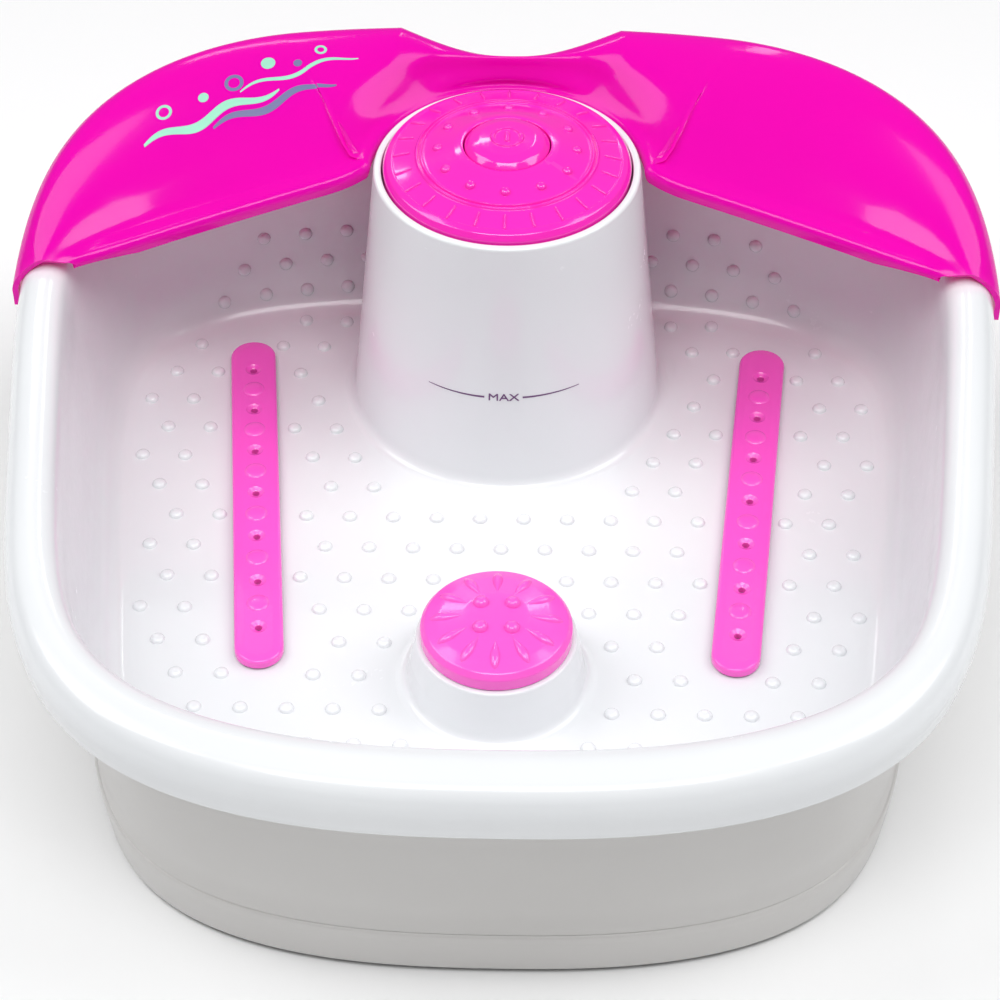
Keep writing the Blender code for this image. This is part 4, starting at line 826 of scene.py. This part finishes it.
# --- massage disc ---
def make_disc():
    """The crowned disc, with twelve lens-shaped ribs and four pearls."""
    edge = DISC_RADIUS / MM
    low, top = DISC_LOW.z / MM, DISC_HIGH.z / MM
    outline = [(0, top - 0.15, 0), (12.5, top - 0.8, 14), (22.5, top - 2.4, 14),
               (27.8, top - 4.3, 2.2), (edge, top - 6.4, 2.0), (edge, low, 0.6),
               (edge - 2.7, low, 0.5), (edge - 2.7, low + 4.8, 1), (8, low + 6.6, 1),
               (8, low + 2.8, 0.3), (3.8, low + 2.8, 0.3), (3.8, low + 8, 0.3),
               (0, low + 8, 0)]
    profile = filleted(outline, 8)
    crown = [p for p in profile if p.y > (top - 6.5) * MM]

    def crown_height(radius):
        for a, b in zip(crown, crown[1:]):
            if a.x <= radius <= b.x:
                return a.y + (b.y - a.y) * (radius - a.x) / max(b.x - a.x, 1e-9)
        return crown[-1].y

    bm = bmesh.new()
    turn(bm, profile, 144, (0, DISC_Y, 0))
    piece("disc_crown", bm, STRIP, "disc", "massage_disc", 40)
    bm = bmesh.new()
    for k in range(DISC_RIBS):
        out, across = spoke(k, DISC_RIBS, math.pi / 2)
        loops = []
        for step in range(15):
            share = step / 14
            radius = (12.6 + 13.2 * share) * MM
            swell = math.sin(math.pi * min(1, share ** 1.5)) ** 0.7 if 0 < share < 1 else 0
            half = (0.12 + 1.9 * swell) * MM
            height = (0.02 + 1.35 * swell) * MM
            base = Vector((0, DISC_Y, crown_height(radius) - 0.3 * MM)) + out * radius
            loops.append([base + across * (half * math.cos(math.pi * i / 8))
                          + Vector((0, 0, (0.3 * MM + height) * math.sin(math.pi * i / 8)))
                          for i in range(9)])
        loft(bm, loops)
    piece("disc_ribs", bm, STRIP, "disc", "massage_disc", 60)
    bm = bmesh.new()
    for x, y in ((6.1, 6.6), (-6.1, 6.6), (6.1, -6.6), (-6.1, -6.6)):
        radius = math.hypot(x, y) * MM
        place = Vector((x * MM, DISC_Y + y * MM, crown_height(radius) - 0.15 * MM))
        bump_dome(bm, place, (x * 0.02, y * 0.02, 1), 3.1 * MM, 2.5 * MM, 28)
    piece("disc_pearls", bm, STRIP, "disc", "massage_disc", 60)


# --- splash guard ---
GUARD_OUTSET = 3.1 * MM
GUARD_WALL = 2.4 * MM
GUARD_LEAN = 12.0 * MM
GUARD_END_Y = 86.0 * MM
GUARD_LIP_END = Vector((175.5, 88.0)) * MM
GUARD_END_Z = 132.6 * MM
GUARD_LIP_TOWER_Z = 160.6 * MM
GUARD_REAR_Z = BOX("splash_guard")[1].z
GUARD_COUNT = 96
SCALLOP_HALF = 46.5 * MM
SCALLOP_DEPTH = 8.5 * MM
SCALLOP_DIP = 8.5 * MM
SCALLOP_STEPS = 22
CAD_STATIONS = 22


def guard_front_curve():
    """The guard's inner edge on the right half, from its end to the tower's rear."""
    centre = Vector((0, TOWER_Y))
    radius = tower_radius(GUARD_LIP_TOWER_Z) + 1.6 * MM
    start = math.radians(2)
    meet = centre + radius * Vector((math.cos(start), math.sin(start)))
    corner = meet + Vector((7.0, -6.0)) * MM
    lead = GUARD_LIP_END.lerp(corner, 0.92)
    path = [GUARD_LIP_END]
    for k in range(25):
        t = k / 24
        path.append((1 - t) ** 2 * lead + 2 * t * (1 - t) * corner + t ** 2 * meet)
    for k in range(1, 73):
        a = start + (math.pi / 2 - start) * k / 72
        path.append(centre + radius * Vector((math.cos(a), math.sin(a))))
    return resampled(path, GUARD_COUNT)


def guard_rise(k):
    """How far the guard's outer edge has climbed by a station, from 0 to 1."""
    return math.sin(min(1, 1.25 * k / (GUARD_COUNT - SCALLOP_STEPS)) * math.pi / 2) ** 0.9


def guard_outer_curve():
    """The guard's outer edge on the right half, as the foot and the top of its wall."""
    plan = ring(-GUARD_OUTSET, 800)[:401]
    side = [p for p in plan if p.y >= GUARD_END_Y and p.x >= SCALLOP_HALF]
    foot = resampled(side, GUARD_COUNT - SCALLOP_STEPS)
    top = []
    for k, point in enumerate(foot):
        along = foot[min(k + 1, len(foot) - 1)] - foot[max(k - 1, 0)]
        inward = Vector((-along.y, along.x)).normalized()
        top.append(point + inward * GUARD_LEAN * guard_rise(k))
    top[-1].x = foot[-1].x = SCALLOP_HALF
    corner_y = top[-1].y
    for k in range(1, SCALLOP_STEPS + 1):
        share = k / SCALLOP_STEPS
        top.append(Vector((SCALLOP_HALF * (1 - share),
                           corner_y - SCALLOP_DEPTH * math.sin(share * math.pi / 2))))
        foot.append(top[-1] + Vector((0, 2 * MM)))
    return foot, top


def guard_sections():
    """For each station of the right half, the guard's section from lip to skirt."""
    front = guard_front_curve()
    feet, tops = guard_outer_curve()
    sections = []
    for k, (inner, foot, edge) in enumerate(zip(front, feet, tops)):
        away = (edge - inner).normalized()
        along = front[min(k + 1, GUARD_COUNT)] - front[max(k - 1, 0)]
        turned_by = min(1, k * CAD_STATIONS / GUARD_COUNT / 3)
        border = away.lerp(Vector((along.y, -along.x)).normalized(), turned_by).normalized()
        reach = (edge - inner).length
        a = inner + border * min(9 * MM, 0.4 * reach)
        b = edge - (edge - a).normalized() * min(7 * MM, 0.3 * reach)
        near = (GUARD_LIP_END.x - inner.x) / (GUARD_LIP_END.x - tower_radius(TOWER_TOP))
        lip_z = GUARD_END_Z + (GUARD_LIP_TOWER_Z - GUARD_END_Z) * min(1, near) ** 0.85
        around = math.degrees(math.atan2(inner.y - TOWER_Y, inner.x))
        climb = min(1, max(0, (around + 6) / 56))
        climb = climb * climb * (3 - 2 * climb)
        a_z = lip_z + 1.8 * MM + 6 * MM * climb
        rise = guard_rise(k)
        start_z = GUARD_END_Z - 6 * MM
        edge_z = start_z + (GUARD_REAR_Z - start_z) * rise
        dipped = max(0, k - (GUARD_COUNT - SCALLOP_STEPS)) / SCALLOP_STEPS
        edge_z -= SCALLOP_DIP * math.sin(dipped * math.pi / 2)
        b_z = edge_z + 4.5 * MM * (1 - rise)
        skirt = RIM_TOP - 18 * MM
        if k >= GUARD_COUNT - SCALLOP_STEPS:
            skirt = RIM_TOP + 3 * MM
        knee = min(skirt + 10 * MM, (edge_z - 6 * MM + skirt) / 2)
        bead = inner + border * min(5.2 * MM, 0.2 * reach)
        drop = (2.4 + 4.1 * min(1, k / 12)) * MM
        places = [(inner + border * 0.8 * MM, lip_z - drop),
                  (inner + border * 0.25 * MM, lip_z - 0.68 * drop),
                  (inner, lip_z - 0.34 * drop), (inner + border * 0.7 * MM, lip_z - 0.08 * drop),
                  (inner + border * 2.4 * MM, lip_z + 0.6 * MM),
                  (bead, lip_z + 0.6 * MM + (a_z - lip_z - 0.6 * MM) * 0.34), (a, a_z),
                  (a.lerp(b, 0.5), a_z + (b_z - a_z) * 0.58 + 2.2 * MM), (b, b_z),
                  (edge - away * 1.6 * MM, edge_z - 1.8 * MM),
                  (edge.lerp(foot, 0.15), edge_z - 6 * MM), (foot, knee), (foot, skirt)]
        sections.append([Vector((p.x, p.y, z)) for p, z in places])
    return sections


def make_guard():
    """The splash guard: a glossy cowl over the rear rim, open underneath."""
    right = [[Vector((p.x, p.y, min(p.z, GUARD_REAR_Z))) for p in smooth_curve(section, 4)]
             for section in guard_sections()]
    left = [[Vector((-p.x, p.y, p.z)) for p in section] for section in right[-2::-1]]
    bm = bmesh.new()
    grid = [[bm.verts.new(p) for p in section] for section in right + left]
    for near, far in zip(grid, grid[1:]):
        for k in range(len(near) - 1):
            bm.faces.new((near[k], near[k + 1], far[k + 1], far[k]))
    bmesh.ops.recalc_face_normals(bm, faces=bm.faces)
    highest = max(bm.faces, key=lambda f: f.calc_center_median().z)
    if highest.normal.z < 0:
        bmesh.ops.reverse_faces(bm, faces=bm.faces)
    made = linked("guard_cowl", bm)
    made.data.materials.append(GUARD)
    solid = made.modifiers.new("wall", "SOLIDIFY")
    solid.thickness = GUARD_WALL
    solid.offset = -1
    apply_modifiers(made, 50)
    return attached(made, "guard", "splash_guard")


# --- marks ---
LEVEL_Z = 90.5 * MM


def make_level_mark():
    """The fill line on the front of the tower: two tapering arcs and the word between."""
    height = LEVEL_Z
    radius = tower_radius(height)
    centre = Vector((0, TOWER_Y, 0))

    def on_tower(across, up, lift):
        angle = across / radius
        reach = tower_radius(height + up) + lift
        return centre + Vector((reach * math.sin(angle), -reach * math.cos(angle), height + up))

    bm = bmesh.new()
    for side in (1, -1):
        loops = []
        for k in range(25):
            share = k / 24
            across = side * (7.9 + 24.5 * share) * MM
            half = (0.06 + 0.30 * (1 - share) ** 0.8) * MM
            up = 0.9 * MM * share ** 2
            loops.append([on_tower(across, up + rise, lift * MM) for rise, lift in
                          ((-half, -0.1), (-half, 0.06), (half, 0.06), (half, -0.1))])
        loft(bm, loops)
    piece("level_line", bm, LEGEND, "basin", "tub")

    text = bpy.data.curves.new("level_word", "FONT")
    text.body = "MAX"
    text.size = 5.6 * MM
    text.extrude = 0.08 * MM
    text.align_x = "CENTER"
    text.align_y = "CENTER"
    holder = bpy.data.objects.new("level_word_curve", text)
    bpy.context.scene.collection.objects.link(holder)
    bpy.context.view_layer.update()
    graph = bpy.context.evaluated_depsgraph_get()
    mesh = bpy.data.meshes.new_from_object(holder.evaluated_get(graph))
    bpy.data.objects.remove(holder)
    bm = bmesh.new()
    bm.from_mesh(mesh)
    bpy.data.meshes.remove(mesh)
    bmesh.ops.remove_doubles(bm, verts=bm.verts, dist=1e-6)
    for vert in bm.verts:
        vert.co = on_tower(vert.co.x * 1.08, vert.co.y * 0.86, vert.co.z)
    piece("level_word", bm, LEGEND, "basin", "tub", 30)


# --- decal on the guard ---
DECAL_START = Vector((-150.0, 132.0)) * MM
DECAL_END = Vector((-62.0, 168.0)) * MM


def make_decal(cowl):
    """A printed mark on the guard's left: three waves with a row of bubbles over them."""
    tree = surface(cowl)
    span = DECAL_END - DECAL_START
    along, length = span.normalized(), span.length / MM
    over = Vector((-along.y, along.x))

    def on_cowl(u, v):
        flat = DECAL_START + (along * u + over * v) * MM
        place, normal, _, _ = tree.ray_cast(flat.to_3d() + SHIFT + Vector((0, 0, 0.3)),
                                            Vector((0, 0, -1)))
        return place - SHIFT, normal

    def slab(bm, outline):
        """A thin closed sheet over the cowl from pairs of (u, v) across its length."""
        loops = []
        for (u0, v0), (u1, v1) in outline:
            (a, n), (b, m) = on_cowl(u0, v0), on_cowl(u1, v1)
            c, w = on_cowl((u0 + u1) / 2, (v0 + v1) / 2)
            loops.append([a - n * 0.05 * MM, a + n * 0.05 * MM, c + w * 0.06 * MM,
                          b + m * 0.05 * MM, b - m * 0.05 * MM])
        loft(bm, loops)

    def wave(bm, start, end, base, swell, half):
        outline = []
        for k in range(57):
            share = k / 56
            u = start + share * (end - start)
            v = base + swell * math.sin(2 * math.pi * (u - start) / 30)
            h = half * math.sin(math.pi * min(1, 0.04 + share * 0.94)) ** 0.6
            outline.append(((u, v - h), (u, v + h)))
        slab(bm, outline)

    def bubble(bm, u, v, radius, hollow=0.0):
        steps = 36
        outline = []
        for k in range(steps + 1):
            a = 2 * math.pi * k / steps
            if hollow:
                outline.append(((u + hollow * math.cos(a), v + hollow * math.sin(a)),
                                (u + radius * math.cos(a), v + radius * math.sin(a))))
            else:
                x = radius * math.cos(math.pi * k / steps) * 0.995
                h = math.sqrt(radius ** 2 - x ** 2)
                outline.append(((u + x, v - h), (u + x, v + h)))
        slab(bm, outline)

    bm = bmesh.new()
    wave(bm, 0, length * 0.62, 0, 2.0, 2.1)
    wave(bm, length * 0.46, length, 5.2, 1.8, 1.0)
    bubble(bm, 12, 10.5, 3.4, 2.2)
    bubble(bm, 29, 9.5, 2.2)
    bubble(bm, length * 0.62, 14.0, 3.0)
    bubble(bm, length * 0.86, 13.0, 2.6, 1.5)
    piece("decal_mint", bm, MINT, "guard", "splash_guard", 60)
    bm = bmesh.new()
    wave(bm, length * 0.30, length * 0.86, -5.2, 1.8, 1.7)
    bubble(bm, length * 0.45, 10.5, 4.0, 2.5)
    bubble(bm, length * 0.74, 9.2, 1.8)
    piece("decal_slate", bm, SLATE, "guard", "splash_guard", 60)


# --- kept CAD nodes ---
SLOT_LOOKS = {"white_plastic": WHITE, "pink_plastic": DIAL, "strip_plastic": STRIP,
              "rubber": RUBBER, "steel": STEEL, "copper": COPPER, "board_green": BOARD,
              "black_plastic": NYLON, "clear_hose": HOSE}


def dress_nodes():
    """Gives every CAD node that stays its finished material."""
    slots = {s["node"]: s["material_slot"] for s in frame["record"]["subparts"]}
    for name, node in frame["nodes"].items():
        look = SLOT_LOOKS[slots[name]]
        if not node.material_slots:
            node.data.materials.append(look)
        for held in node.material_slots:
            held.material = look
        shaded(node.data, 35)


# --- floor, light and camera ---
def make_stage():
    """A pale floor and an even, pale surrounding."""
    look, tree, shader, place = new_look("studio_floor")
    tree.links.new(mixed(tree, noise(tree, place, 3), (0.90, 0.90, 0.90), (0.93, 0.93, 0.93)),
                   shader.inputs["Base Color"])
    shader.inputs["Roughness"].default_value = 0.7
    bm = bmesh.new()
    bmesh.ops.create_grid(bm, x_segments=8, y_segments=8, size=4.0)
    floor = linked("studio_floor", bm, (0, 0, 0))
    floor.data.materials.append(look)

    world = bpy.data.worlds.new("studio")
    bpy.context.scene.world = world
    world.use_nodes = True
    back = world.node_tree.nodes["Background"]
    back.inputs["Color"].default_value = (0.96, 0.98, 1.0, 1.0)
    back.inputs["Strength"].default_value = 0.22


def area_light(name, place, aim, size, power):
    """A soft rectangle of light at a place, turned to its aim."""
    data = bpy.data.lights.new(name, "AREA")
    data.shape = "RECTANGLE"
    data.size, data.size_y = size
    data.energy = power
    lamp = bpy.data.objects.new(name, data)
    lamp.location = place
    lamp.rotation_mode = "QUATERNION"
    lamp.rotation_quaternion = (Vector(aim) - Vector(place)).to_track_quat("-Z", "Y")
    bpy.context.scene.collection.objects.link(lamp)


def light_scene():
    """Two banks at the sides, one light in front from above and two weak ones behind."""
    area_light("left_bank", (-1.3, 0.1, 1.6), (0, 0, 0.1), (1.2, 1.2), 15.5)
    area_light("right_bank", (1.3, 0.05, 1.6), (0, 0, 0.1), (1.2, 1.2), 16)
    area_light("front_top", (0.0, -0.85, 2.0), (0, 0, 0.1), (1.5, 0.8), 23)
    area_light("rear_left", (-0.62, 2.0, 1.7), (0, 0.1, 0.1), (0.75, 0.16), 2.7)
    area_light("rear_right", (0.5, 2.1, 1.65), (0, 0.1, 0.1), (0.16, 0.6), 2.1)
    view = bpy.context.scene.view_settings
    view.view_transform = "Standard"
    view.look = "None"
    view.exposure = 0.0


def make_camera():
    """A long lens high in front of the basin, a little to its right."""
    data = bpy.data.cameras.new("camera")
    data.lens = 105.84
    data.sensor_width = 36
    data.clip_start = 0.05
    data.clip_end = 50
    camera = bpy.data.objects.new("camera", data)
    camera.location = (0.02067, -0.84585 + SHIFT.y, 0.886)
    camera.rotation_mode = "QUATERNION"
    camera.rotation_quaternion = Vector((-0.01777, 0.72695, -0.68646)).to_track_quat("-Z", "Y")
    bpy.context.scene.collection.objects.link(camera)
    bpy.context.scene.camera = camera


dress_nodes()
basin_bowl = make_bowl()
make_tower()
make_boss()
make_nubs(basin_bowl)
make_shell()
make_pan()
make_gland()
make_strip(1, "right")
make_strip(-1, "left")
make_dial()
make_button()
make_disc()
guard_cowl = make_guard()
make_level_mark()
make_decal(guard_cowl)
make_stage()
light_scene()
make_camera()
